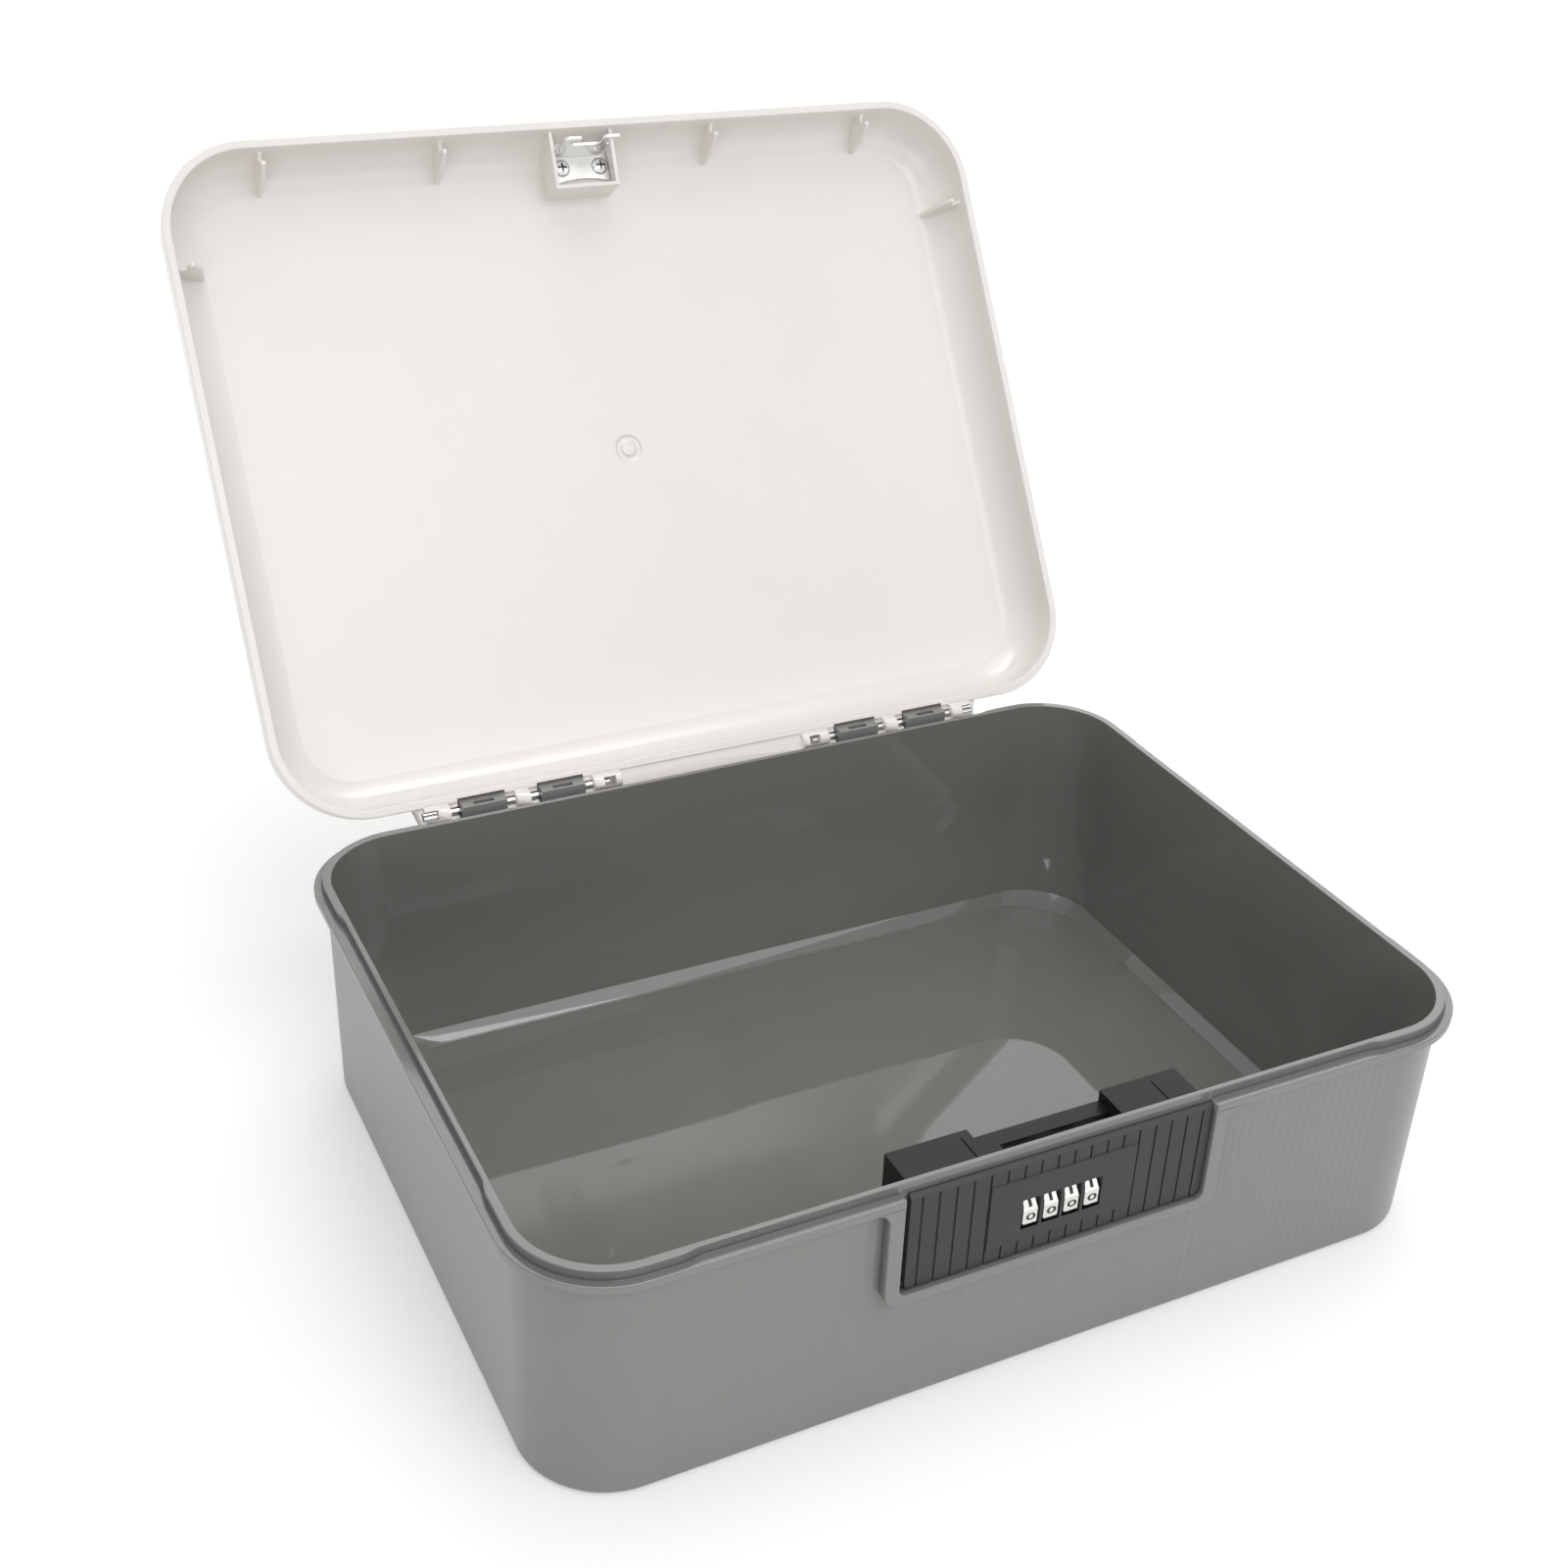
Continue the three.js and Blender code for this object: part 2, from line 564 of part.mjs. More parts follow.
// Housing behind the front wall: two raised blocks, a lower bar between, and the strike slot
const housingWall = 1.5;
const blockDrop = 1.3; // block tops below the lip
const barDrop = 5.6;
const blockLead = 9; // blocks reach inwards past the posts
const slotEase = 4; // slot past the strike's left side
const slotInset = 1; // slot's front and back from the front wall's inner face
const slotDepth = 7.8;
const seamWidth = 0.4;
const seamDepth = 0.5;
const seamBack = 3;
const leftSeamIn = 4; // seams in the block tops, from the blocks' inner sides
const rightSeamIn = 18;
const blockInner = postInner - blockLead;
const housingFrontY = -halfY + gap;
const housingBackY = combBackY + gap + housingWall;
const blockTopZ = tubHeight - blockDrop;
const barTopZ = tubHeight - barDrop;
const housingShell = alongY(bothHalves([
  [housingHalf, housingFloorZ],
  [housingHalf, blockTopZ],
  [blockInner, blockTopZ],
  [blockInner, barTopZ],
]), housingFrontY, housingBackY);
const housingCavity = alongY(bothHalves([
  [housingHalf - housingWall, housingFloorZ + housingWall],
  [housingHalf - housingWall, blockTopZ - housingWall],
  [blockInner + housingWall, blockTopZ - housingWall],
  [blockInner + housingWall, barTopZ - housingWall],
]), housingFrontY - overrun, housingBackY - housingWall);
const columns = joinAll(housingScrews.map(([x, z]) =>
  barY(bossEndY + gap, housingBackY - housingWall / 2, x, z, bossRadius)));
const columnHoles = joinAll(housingScrews.map(([x, z]) =>
  barY(bossEndY - overrun, housingBackY + overrun, x, z, screwRadius + gap)));
const seams = joinAll([-blockInner - leftSeamIn, blockInner + rightSeamIn].map((x) => box(
  [x, housingFrontY - overrun, blockTopZ - seamDepth],
  [x + seamWidth, housingBackY - seamBack, blockTopZ + overrun],
)));
const strikeSlot = box(
  [-strikeHalf - slotEase, -halfY + slotInset, barTopZ - housingWall - overrun],
  [blockInner, -halfY + slotDepth, barTopZ + overrun],
);
addPiece(lockBox, 'lock_housing', housingShell.subtract(housingCavity)
  .add(columns).subtract(columnHoles).subtract(seams).subtract(strikeSlot), blackPlastic);

const housingScrewLength = 12;
const housingScrew = panScrew(smallHeadRadius, smallHeadHeight, screwRadius, housingScrewLength);
housingScrews.forEach(([x, z], index) => {
  const screw = addPiece(lockBox, `housing_screw_${index + 1}`, housingScrew, brightSteel);
  screw.rotation.x = quarterTurn;
  screw.position.set(x, housingBackY + fit, z);
});

// Lid, drawn shut: from the inner panel down the skirt, round the rim and up to the crown
const rimWidth = 3.4;
const lidWall = 2.3;
const skirtDraft = 0.3;
const outerRound = 15;
const innerRound = 16;
const innerRoundTurn = 78; // degrees, and it meets the panel at a crease
const crown = 1.4;
const crownShares = [0.3, 0.55, 0.75, 0.9];
const lidEdgeZ = rimZ + lidHeight - crown;
const panelZ = lidEdgeZ - lidWall;
const skirtInner = lidReach - rimWidth;
const outerShoulder = lidReach - skirtDraft - outerRound;
const innerRoundCentre = skirtInner - skirtDraft - innerRound;
const innerRoundAngle = THREE.MathUtils.degToRad(innerRoundTurn);
const innerRoundFootZ = panelZ - innerRound * Math.sin(innerRoundAngle);
const innerShoulder = innerRoundCentre + innerRound * Math.cos(innerRoundAngle);
const crownRise = (share) => crown * (1 - share * share);
const innerArc = arc(innerRoundCentre, innerRoundFootZ, innerRound, innerRoundTurn, 0, 6);
const lidBody = loft([
  ...crownShares.map((share) => ring(innerShoulder, panelZ + crownRise(share), share)),
  ...innerArc.map(([offset, z]) => ring(offset, z)),
  ring(skirtInner, rimZ + edge),
  ring(skirtInner + edge, rimZ),
  ring(lidReach - edge, rimZ),
  ring(lidReach, rimZ + edge),
  ...arc(outerShoulder, lidEdgeZ - outerRound, outerRound, 0, 90, 7).map(([offset, z]) => ring(offset, z)),
  ...crownShares.toReversed().map((share) => ring(outerShoulder, lidEdgeZ + crownRise(share), share)),
]);

// Hinge rail behind the lid: a hood over a barrel for the pins, with windows for the ears
const railTaper = 3;
const railBite = 1.4; // into the lid's back
const hoodRadius = 6.7;
const hoodFrom = -2.5; // the hood's arc, in degrees round the pin
const hoodTo = 105;
const hoodRise = 2.4;
const hoodClear = 4.9; // round the ears
const barrelRadius = 3.1;
const barrelRunIn = 5;
const pinRunOut = 20.5; // inner pin end from the inner ear's centre
const pinInset = 2.5; // outer pin end from the end of the rail
const pinInner = innerEarX - pinRunOut;
const pinOuter = railHalf - pinInset;
const railFloorZ = hingeZ - hoodDrop;
const hoodBackY = hingeY + hoodRadius;
const rail = alongX([
  [lidBackY - railBite, railFloorZ],
  ...arc(hingeY, hingeZ, hoodRadius, hoodFrom, hoodTo, 9),
  [lidBackY - railBite, hingeZ + hoodRadius + hoodRise],
], -railHalf, railHalf);
const railEnd = alongZ([
  [railHalf, lidBackY],
  [railHalf - railTaper, hoodBackY + overrun],
  [railHalf + railTaper, hoodBackY + overrun],
  [railHalf + railTaper, lidBackY],
], railFloorZ - overrun, hingeZ + hoodRadius + hoodRise + overrun);
const barrel = barX(pinInner - barrelRunIn, railHalf - railTaper, hingeY, hingeZ, barrelRadius);
const barrelWeb = box(
  [pinInner - barrelRunIn, lidBackY - bite, rimZ],
  [railHalf - railTaper, hingeY, hingeZ + barrelRadius - bite],
);

// Windows for the ears, and the open ends where the pins are pressed in
const earSideClear = 0.6;
const earWindowRise = 2; // above the rim plane behind the ears
const pinReach = 4.4; // of bare pin on each side of an ear
const pinWindowEase = 0.5; // before and behind a pin
const pinWindowHead = 0.8; // above it
const pinWindowAhead = 2.4; // past a pin's inner end
const pinWindowBehind = 2.7;
const pinEndAhead = 0.6; // past its outer end
const pinEndBehind = 5.7;
const belowRailZ = railFloorZ - hoodRadius;
const pinWindow = (x0, x1) => box(
  [x0, hingeY - pinRadius - pinWindowEase, belowRailZ],
  [x1, hingeY + pinRadius + pinWindowEase, hingeZ + pinRadius + pinWindowHead],
);
const barrelCut = (x0, x1) => box(
  [x0, hingeY - hoodRadius, belowRailZ],
  [x1, hingeY + hoodRadius, railFloorZ],
);
const earWindow = (x) => {
  const windowHalf = earHalf + earSideClear;
  const pinHalf = earHalf + pinReach;
  return barX(x - windowHalf, x + windowHalf, hingeY, hingeZ, hoodClear, 32)
    .add(box([x - windowHalf, hingeY, belowRailZ],
      [x + windowHalf, hoodBackY + overrun, rimZ + earWindowRise]))
    .add(pinWindow(x - pinHalf, x + pinHalf))
    .add(barrelCut(x - pinHalf, x + pinHalf));
};
const railCuts = bothSides(joinAll([
  earWindow(innerEarX),
  earWindow(outerEarX),
  pinWindow(pinInner - pinWindowAhead, pinInner + pinWindowBehind),
  pinWindow(pinOuter - pinEndBehind, pinOuter + pinEndAhead),
]));
const pinHole = barX(pinInner - overrun, pinOuter + overrun, hingeY, hingeZ, pinRadius + fit);

// Guide ribs inside the skirt: each has a notch that straddles the tub's lip
const ribThickness = 1.8;
const ribReach = 9.3; // inwards from the mouth
const notchClear = 0.9; // each side of the lip
const notchHead = 2.8; // above the lip
const notchArch = 1;
const ribChamfer = 3;
const innerRibX = 60;
const outerRibInset = 37; // from the side of the mouth
const sideRibInset = 39.5; // from the front of the mouth
const ribToeShares = [[0.1, 0.11], [0.19, 0.053], [0.33, 0.062], [0.53, 0.2], [0.81, 0.47], [1, 1]];
const ribTop = panelZ + bite - rimZ;
const notchTop = ledgeDrop - gap + notchHead;
// (inwards from the mouth's edge, above the rim plane)
const ribProfile = [
  [-skirtInner - bite, notchTop - notchArch],
  [-lipThin - notchClear, notchTop - notchArch],
  [-lipThin / 2, notchTop + notchArch],
  [notchClear, notchTop],
  ...ribToeShares.map(([inShare, upShare]) => [inShare * ribReach, upShare * ribTop]),
  [ribChamfer - skirtInner, ribTop],
  [-skirtInner - bite, ribTop - bite - innerRound + ribChamfer],
];
const ribHalf = ribThickness / 2;
const frontRibs = joinAll([innerRibX, halfX - outerRibInset].map((x) => alongX(
  ribProfile.map(([inward, up]) => [-halfY + inward, rimZ + up]), x - ribHalf, x + ribHalf)));
const sideRibY = -halfY + sideRibInset;
const sideRib = alongY(
  ribProfile.map(([inward, up]) => [halfX - inward, rimZ + up]), sideRibY - ribHalf, sideRibY + ribHalf);

// Strike boss with its open pocket, and the moulding gate at the middle of the panel
const bossMargin = 1.8; // each side of the strike
const bossDepth = 19.3; // back from the front of the mouth
const bossRise = 6.8; // its rim above the lid's rim plane, at the back
const bossFrontRise = 3.5; // and at the skirt
const bossWall = 1.5;
const pocketEase = 0.4;
const strikeRise = 12.9; // the strike's seat above the lid's rim plane
const strikeScrewX = 8.5;
const strikeScrewInset = 9.4;
const strikeScrewRadius = 1.4;
const strikeScrewLength = 7.5;
const bossHalf = strikeHalf + bossMargin;
const bossBackY = -halfY + bossDepth;
const strikeSeatZ = rimZ + strikeRise;
const strikeScrewY = -halfY + strikeScrewInset;
const bossBlock = alongX([
  [-halfY - bite, rimZ + bossFrontRise],
  [bossBackY, rimZ + bossRise],
  [bossBackY, panelZ + bite],
  [-halfY - bite, panelZ + bite],
], -bossHalf, bossHalf);
const bossPocket = box(
  [bossWall - bossHalf, -halfY - skirtInner + pocketEase, rimZ + bossFrontRise - overrun],
  [bossHalf - bossWall, bossBackY - bossWall, strikeSeatZ],
);
const bossHole = barZ(strikeSeatZ - overrun, strikeSeatZ + strikeScrewLength,
  strikeScrewX, strikeScrewY, strikeScrewRadius + fit, cylinderSteps / 2);
const gateRadius = 5.8;
const gateNub = 3;
const gateDepth = 0.35;
const gateZ = panelZ + crownRise(crownShares[0]);
const gate = barZ(gateZ - overrun, gateZ + gateDepth, 0, 0, gateRadius)
  .subtract(barZ(gateZ - 2 * overrun, gateZ + 2 * overrun, 0, 0, gateNub));
addPiece(lid, 'lid_shell', lidBody.add(rail.subtract(bothSides(railEnd)))
  .add(bothSides(barrel)).add(bothSides(barrelWeb)).subtract(railCuts).subtract(bothSides(pinHole))
  .add(bothSides(frontRibs)).add(bothSides(sideRib))
  .add(bossBlock).subtract(bossPocket).subtract(bothSides(bossHole)).subtract(gate), whitePlastic);

// Hinge pins, pressed into the lid by their knurled outer ends
const knurlCount = 14;
const knurlRise = 0.25;
const knurlLength = 5.6;
const knurl = Array.from({ length: 2 * knurlCount }, (_, i) => {
  const angle = i * Math.PI / knurlCount;
  const radius = pinRadius + (i % 2) * knurlRise;
  return [hingeY + radius * Math.cos(angle), hingeZ + radius * Math.sin(angle)];
});
const hingePin = barX(pinInner, pinOuter - knurlLength / 2, hingeY, hingeZ, pinRadius)
  .add(alongX(knurl, pinOuter - knurlLength, pinOuter));
addPiece(lid, 'hinge_pin_right', hingePin, brightSteel);
addPiece(lid, 'hinge_pin_left', mirrorX(hingePin), brightSteel);

// Strike: a folded steel plate, its base screwed to the boss and two hooks down into the lock
const hookDrop = 9.8; // hook tips below the lid's rim plane
const hookChamfer = 1.2;
const nosePlay = 0.5; // nose under the latch strip
const webDrop = 2;
const webNotch = 3;
const webEyeletX = 0.8;
const webEyeletLength = 5.4;
const webEyeletHeight = 1.6;
const webEyeletUp = 1.8;
const gussetWidth = 2.2; // from the left hook to the web
const gussetHeight = 3.2;
const strikeBackGap = 2; // to the back of the pocket
const strikeHollow = 1.6; // how far the back edge is hollowed
const hollowShares = [0.6, 0.3, 0, -0.3, -0.6];
const strikeBaseZ = strikeSeatZ - fit;
const strikeBackY = bossBackY - bossWall - strikeBackGap;
const hookTipZ = rimZ - hookDrop;
const strikeWebZ = rimZ - webDrop;
const strikeBase = alongZ([
  [-strikeHalf, strikeFrontY],
  [strikeHalf, strikeFrontY],
  [strikeHalf, strikeBackY],
  ...hollowShares.map((share) => [share * strikeHalf, strikeBackY - strikeHollow * (1 - share * share)]),
  [-strikeHalf, strikeBackY],
], strikeBaseZ - strikeThickness, strikeBaseZ);
const strikeWeb = box([-strikeHalf, strikeFrontY, strikeWebZ],
  [strikeHalf - webNotch, strikeFrontY + strikeThickness, strikeBaseZ]);
const hookShape = (x) => alongY([
  [x, strikeWebZ + bite],
  [x, hookTipZ + hookChamfer],
  [x + hookChamfer, hookTipZ],
  [x + hookStem + hookNose, hookTipZ],
  [x + hookStem + hookNose, latchZ - nosePlay],
  [x + hookStem, latchZ - nosePlay],
  [x + hookStem, strikeWebZ + bite],
], strikeFrontY, strikeFrontY + strikeThickness);
const gusset = alongY([
  [hookStem - strikeHalf - bite, strikeWebZ + bite],
  [hookStem - strikeHalf - bite, strikeWebZ - gussetHeight],
  [hookStem - strikeHalf, strikeWebZ - gussetHeight],
  [hookStem - strikeHalf + gussetWidth, strikeWebZ],
  [hookStem - strikeHalf + gussetWidth, strikeWebZ + bite],
], strikeFrontY, strikeFrontY + strikeThickness);
const webEyelet = box([webEyeletX, strikeFrontY - overrun, strikeWebZ + webEyeletUp],
  [webEyeletX + webEyeletLength, strikeFrontY + strikeThickness + overrun,
    strikeWebZ + webEyeletUp + webEyeletHeight]);
const strikeHole = barZ(strikeBaseZ - strikeThickness - overrun, strikeBaseZ + overrun,
  strikeScrewX, strikeScrewY, strikeScrewRadius + gap, cylinderSteps / 2);
addPiece(lid, 'strike_plate', strikeBase.add(strikeWeb).add(joinAll(hookXs.map(hookShape))).add(gusset)
  .subtract(webEyelet).subtract(bothSides(strikeHole)), brightSteel);

const strikeHeadRadius = 3.6;
const strikeHeadHeight = 1.7;
const strikeScrew = panScrew(strikeHeadRadius, strikeHeadHeight, strikeScrewRadius, strikeScrewLength);
[['right', strikeScrewX], ['left', -strikeScrewX]].forEach(([side, x]) => {
  addPiece(lid, `strike_screw_${side}`, strikeScrew, brightSteel)
    .position.set(x, strikeScrewY, strikeBaseZ - strikeThickness - fit);
});

export default lockBox;
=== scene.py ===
import math
import bpy
import bmesh
import numpy as np
from mathutils import Matrix, Vector


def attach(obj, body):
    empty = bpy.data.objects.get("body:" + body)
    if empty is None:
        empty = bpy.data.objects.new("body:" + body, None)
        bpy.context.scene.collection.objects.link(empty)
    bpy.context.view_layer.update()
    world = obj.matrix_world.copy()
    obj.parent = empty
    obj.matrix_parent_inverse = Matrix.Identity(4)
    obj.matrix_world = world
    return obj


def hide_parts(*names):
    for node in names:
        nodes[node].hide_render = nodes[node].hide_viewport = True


# Medication lock box, shown open as in the photograph. Sizes below are in millimetres.
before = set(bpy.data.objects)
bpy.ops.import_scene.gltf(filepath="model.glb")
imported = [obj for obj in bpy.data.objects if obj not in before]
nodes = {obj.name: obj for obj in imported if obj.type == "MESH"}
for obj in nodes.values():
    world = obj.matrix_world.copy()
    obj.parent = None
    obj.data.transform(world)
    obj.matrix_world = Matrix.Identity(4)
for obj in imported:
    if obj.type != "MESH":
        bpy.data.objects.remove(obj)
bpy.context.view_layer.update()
print("frame loaded:", len(nodes), "nodes")
mm = 0.001

# Camera, at the place that the photograph was taken from.
cameraLook = {
    "place": (-0.310122, -0.532053, 0.499388),
    "forward": (0.397524, 0.773737, -0.493260),
    "up": (0.187503, 0.457721, 0.869100),
    "lens": 46.59,
}


def addCamera(look):
    # the camera's own axes are its right, its up and the reverse of where it looks
    camera = bpy.data.cameras.new("camera")
    camera.lens = look["lens"]
    camera.sensor_width = 36
    camera.sensor_fit = "HORIZONTAL"
    eye = bpy.data.objects.new("camera", camera)
    forward, up = Vector(look["forward"]), Vector(look["up"])
    right = forward.cross(up).normalized()
    turn = Matrix((right, up, -forward)).transposed().to_4x4()
    eye.matrix_world = Matrix.Translation(look["place"]) @ turn
    bpy.context.scene.collection.objects.link(eye)
    bpy.context.scene.camera = eye


addCamera(cameraLook)
print("camera set")


# Shader groups shared by the plastics and metals.
def newGroup(name, outputs, **inputs):
    # every group takes a Vector and one number, and gives the named outputs
    group = bpy.data.node_groups.new(name, "ShaderNodeTree")
    group.interface.new_socket(name="Vector", in_out="INPUT", socket_type="NodeSocketVector")
    for label, value in inputs.items():
        socket = group.interface.new_socket(name=label, in_out="INPUT", socket_type="NodeSocketFloat")
        socket.default_value = value
    for label in outputs:
        group.interface.new_socket(name=label, in_out="OUTPUT", socket_type="NodeSocketFloat")
    return group, group.nodes.new("NodeGroupInput"), group.nodes.new("NodeGroupOutput")


def wire(tree, *runs):
    # each run is (node, output, node, input)
    for source, output, target, entry in runs:
        tree.links.new(source.outputs[output], target.inputs[entry])


def newNode(tree, kind, settings=None, **values):
    node = tree.nodes.new(kind)
    for name, value in (settings or {}).items():
        setattr(node, name, value)
    for name, value in values.items():
        node.inputs[name.replace("_", " ")].default_value = value
    return node


def makeMouldGrain():
    # two noises of different size give the fine skin of a moulded part, put out as a height and a tone
    group, start, end = newGroup("mouldGrain", ("Height", "Tone"), Scale=900.0)
    fine = newNode(group, "ShaderNodeTexNoise", Detail=2.0, Roughness=0.5)
    broad = newNode(group, "ShaderNodeTexNoise", Detail=3.0, Roughness=0.6, Scale=28.0)
    wire(group, (start, "Vector", fine, "Vector"), (start, "Scale", fine, "Scale"),
         (start, "Vector", broad, "Vector"), (fine, "Fac", end, "Height"), (broad, "Fac", end, "Tone"))
    return group


def makeHairScratches():
    # noise stretched along two slanting lines and cut near its peak leaves a few fine hairlines
    group, start, end = newGroup("hairScratches", ("Mask",), Scale=60.0)
    masks = []
    for turn, stretch in ((0.5, (1.0, 26.0, 1.0)), (-0.9, (22.0, 1.0, 20.0))):
        mapping = newNode(group, "ShaderNodeMapping", Rotation=(0.3, 0.2, turn), Scale=stretch)
        noise = newNode(group, "ShaderNodeTexNoise", Detail=1.0, Roughness=0.4)
        peak = newNode(group, "ShaderNodeMapRange", From_Min=0.70, From_Max=0.78)
        wire(group, (start, "Vector", mapping, "Vector"), (mapping, "Vector", noise, "Vector"),
             (start, "Scale", noise, "Scale"), (noise, "Fac", peak, "Value"))
        masks.append(peak)
    both = newNode(group, "ShaderNodeMath", {"operation": "MAXIMUM"})
    wire(group, (masks[0], "Result", both, 0), (masks[1], "Result", both, 1), (both, "Value", end, "Mask"))
    return group


def makeDustVeil():
    # faces that look up carry a thin uneven veil, from the upward share of the normal times a soft noise
    group, start, end = newGroup("dustVeil", ("Mask",), Amount=0.1)
    shape = group.nodes.new("ShaderNodeNewGeometry")
    parts = group.nodes.new("ShaderNodeSeparateXYZ")
    upward = newNode(group, "ShaderNodeMapRange", From_Min=0.55, From_Max=1.0)
    cloud = newNode(group, "ShaderNodeTexNoise", Scale=45.0, Detail=4.0, Roughness=0.65)
    patches = newNode(group, "ShaderNodeMath", {"operation": "MULTIPLY"})
    scaled = newNode(group, "ShaderNodeMath", {"operation": "MULTIPLY"})
    wire(group, (shape, "Normal", parts, "Vector"), (parts, "Z", upward, "Value"),
         (start, "Vector", cloud, "Vector"), (upward, "Result", patches, 0), (cloud, "Fac", patches, 1),
         (patches, "Value", scaled, 0), (start, "Amount", scaled, 1), (scaled, "Value", end, "Mask"))
    return group


mouldGrain = makeMouldGrain()
hairScratches = makeHairScratches()
dustVeil = makeDustVeil()


def addGroup(tree, group, **values):
    # a shader group placed in a material, with the material's own values
    node = tree.nodes.new("ShaderNodeGroup")
    node.node_tree = group
    for name, value in values.items():
        node.inputs[name].default_value = value
    return node


def shade(value):
    # a colour written as sRGB 0 to 255, in linear light
    value = value / 255
    return ((value + 0.055) / 1.055) ** 2.4 if value > 0.04045 else value / 12.92


def tint(r, g, b):
    # an sRGB colour as linear red, green, blue and a full alpha
    return shade(r), shade(g), shade(b), 1.0


bumpDepth = 0.0001  # m


def layTone(tree, under, tone, node, output):
    # the tone lies over the colour below it where the mask of the node says
    mix = newNode(tree, "ShaderNodeMix", {"data_type": "RGBA"})
    mix.inputs["B"].default_value = tint(*tone)
    tree.links.new(under, mix.inputs["A"])
    wire(tree, (node, output, mix, "Factor"))
    return mix.outputs["Result"]


def makeFinish(name, look):
    # base colour drifts between two tones, roughness drifts with it, hairlines and veil lie over both
    material = bpy.data.materials.new(name)
    material.use_nodes = True
    tree = material.node_tree
    surface = tree.nodes["Principled BSDF"]
    surface.inputs["Metallic"].default_value = look.get("metallic", 0.0)
    surface.inputs["Specular IOR Level"].default_value = look.get("shine", 0.5)
    place = tree.nodes.new("ShaderNodeTexCoord")
    grain = addGroup(tree, mouldGrain, Scale=look["grainScale"])
    hair = addGroup(tree, hairScratches)
    wire(tree, (place, "Object", grain, "Vector"), (place, "Object", hair, "Vector"))
    drift = newNode(tree, "ShaderNodeMix", {"data_type": "RGBA"})
    drift.inputs["A"].default_value = tint(*look["toneLow"])
    drift.inputs["B"].default_value = tint(*look["toneHigh"])
    wire(tree, (grain, "Tone", drift, "Factor"))
    hairShare = newNode(tree, "ShaderNodeMath", {"operation": "MULTIPLY"})
    hairShare.inputs[1].default_value = look.get("hair", 0.0)
    wire(tree, (hair, "Mask", hairShare, 0))
    hairTone = look.get("hairTone", look["toneHigh"])
    colour = layTone(tree, drift.outputs["Result"], hairTone, hairShare, "Value")
    if "dust" in look:
        veil = addGroup(tree, dustVeil, Amount=look["dust"])
        wire(tree, (place, "Object", veil, "Vector"))
        colour = layTone(tree, colour, look["dustTone"], veil, "Mask")
    tree.links.new(colour, surface.inputs["Base Color"])
    rough = newNode(tree, "ShaderNodeMapRange", To_Min=look["roughLow"], To_Max=look["roughHigh"])
    bump = newNode(tree, "ShaderNodeBump", Strength=look["bump"], Distance=bumpDepth)
    wire(tree, (grain, "Tone", rough, "Value"), (rough, "Result", surface, "Roughness"),
         (grain, "Height", bump, "Height"), (bump, "Normal", surface, "Normal"))
    return material


# Finishes. Tones are sRGB, 0 to 255.
greyOutsideLook = {"toneLow": (134, 133, 131), "toneHigh": (140, 139, 137),
                   "roughLow": 0.27, "roughHigh": 0.36, "grainScale": 1100.0, "bump": 0.06,
                   "hair": 0.10, "hairTone": (154, 153, 151), "shine": 0.42}
greyRimLook = {"toneLow": (112, 111, 109), "toneHigh": (118, 117, 115), "roughLow": 0.07, "roughHigh": 0.12,
               "grainScale": 700.0, "bump": 0.01, "hair": 0.08, "hairTone": (156, 155, 153),
               "shine": 0.8}
# the inside is the same grey plastic as the outside: its lower tone is painted shade for the inside of the
# box, and its low roughness is its polished finish
greyInsideShadedLook = {"toneLow": (116, 115, 112), "toneHigh": (122, 121, 118),
                  "roughLow": 0.02, "roughHigh": 0.045, "grainScale": 500.0, "bump": 0.002,
                  "hair": 0.05, "hairTone": (140, 139, 137)}
whiteLook = {"toneLow": (232, 227, 223), "toneHigh": (236, 232, 228), "roughLow": 0.20, "roughHigh": 0.28,
             "grainScale": 800.0, "bump": 0.015, "hair": 0.04, "hairTone": (246, 244, 240)}
blackFaceLook = {"toneLow": (52, 52, 52), "toneHigh": (58, 58, 58), "roughLow": 0.42, "roughHigh": 0.55,
                 "grainScale": 1500.0, "bump": 0.22, "hair": 0.25, "hairTone": (84, 84, 84), "shine": 0.38,
                 "dust": 0.10, "dustTone": (120, 118, 114)}
blackHousingLook = {"toneLow": (29, 29, 28), "toneHigh": (34, 33, 32), "roughLow": 0.25, "roughHigh": 0.33,
                    "grainScale": 900.0, "bump": 0.08, "hair": 0.12, "hairTone": (62, 61, 60),
                    "shine": 0.14, "dust": 0.03, "dustTone": (110, 108, 104)}
dialLook = {"toneLow": (214, 213, 210), "toneHigh": (232, 231, 228), "roughLow": 0.16, "roughHigh": 0.30,
            "grainScale": 1600.0, "bump": 0.12, "metallic": 1.0, "hair": 0.2, "hairTone": (170, 169, 166)}
steelLook = {"toneLow": (206, 206, 207), "toneHigh": (222, 222, 223), "roughLow": 0.12, "roughHigh": 0.24,
             "grainScale": 1200.0, "bump": 0.06, "metallic": 1.0, "hair": 0.3, "hairTone": (170, 170, 172)}
zincLook = {"toneLow": (218, 217, 214), "toneHigh": (234, 233, 231), "roughLow": 0.18, "roughHigh": 0.30,
            "grainScale": 900.0, "bump": 0.08, "metallic": 0.85, "hair": 0.3, "hairTone": (205, 204, 202)}
# a darker steel for the inside of the screws' cross: painted shade for the recess
recessShadeLook = {"toneLow": (70, 70, 71), "toneHigh": (88, 88, 90), "roughLow": 0.4, "roughHigh": 0.5,
              "grainScale": 1200.0, "bump": 0.05, "metallic": 0.8}
inkLook = {"toneLow": (22, 22, 22), "toneHigh": (30, 30, 30), "roughLow": 0.45, "roughHigh": 0.6,
           "grainScale": 1500.0, "bump": 0.05}

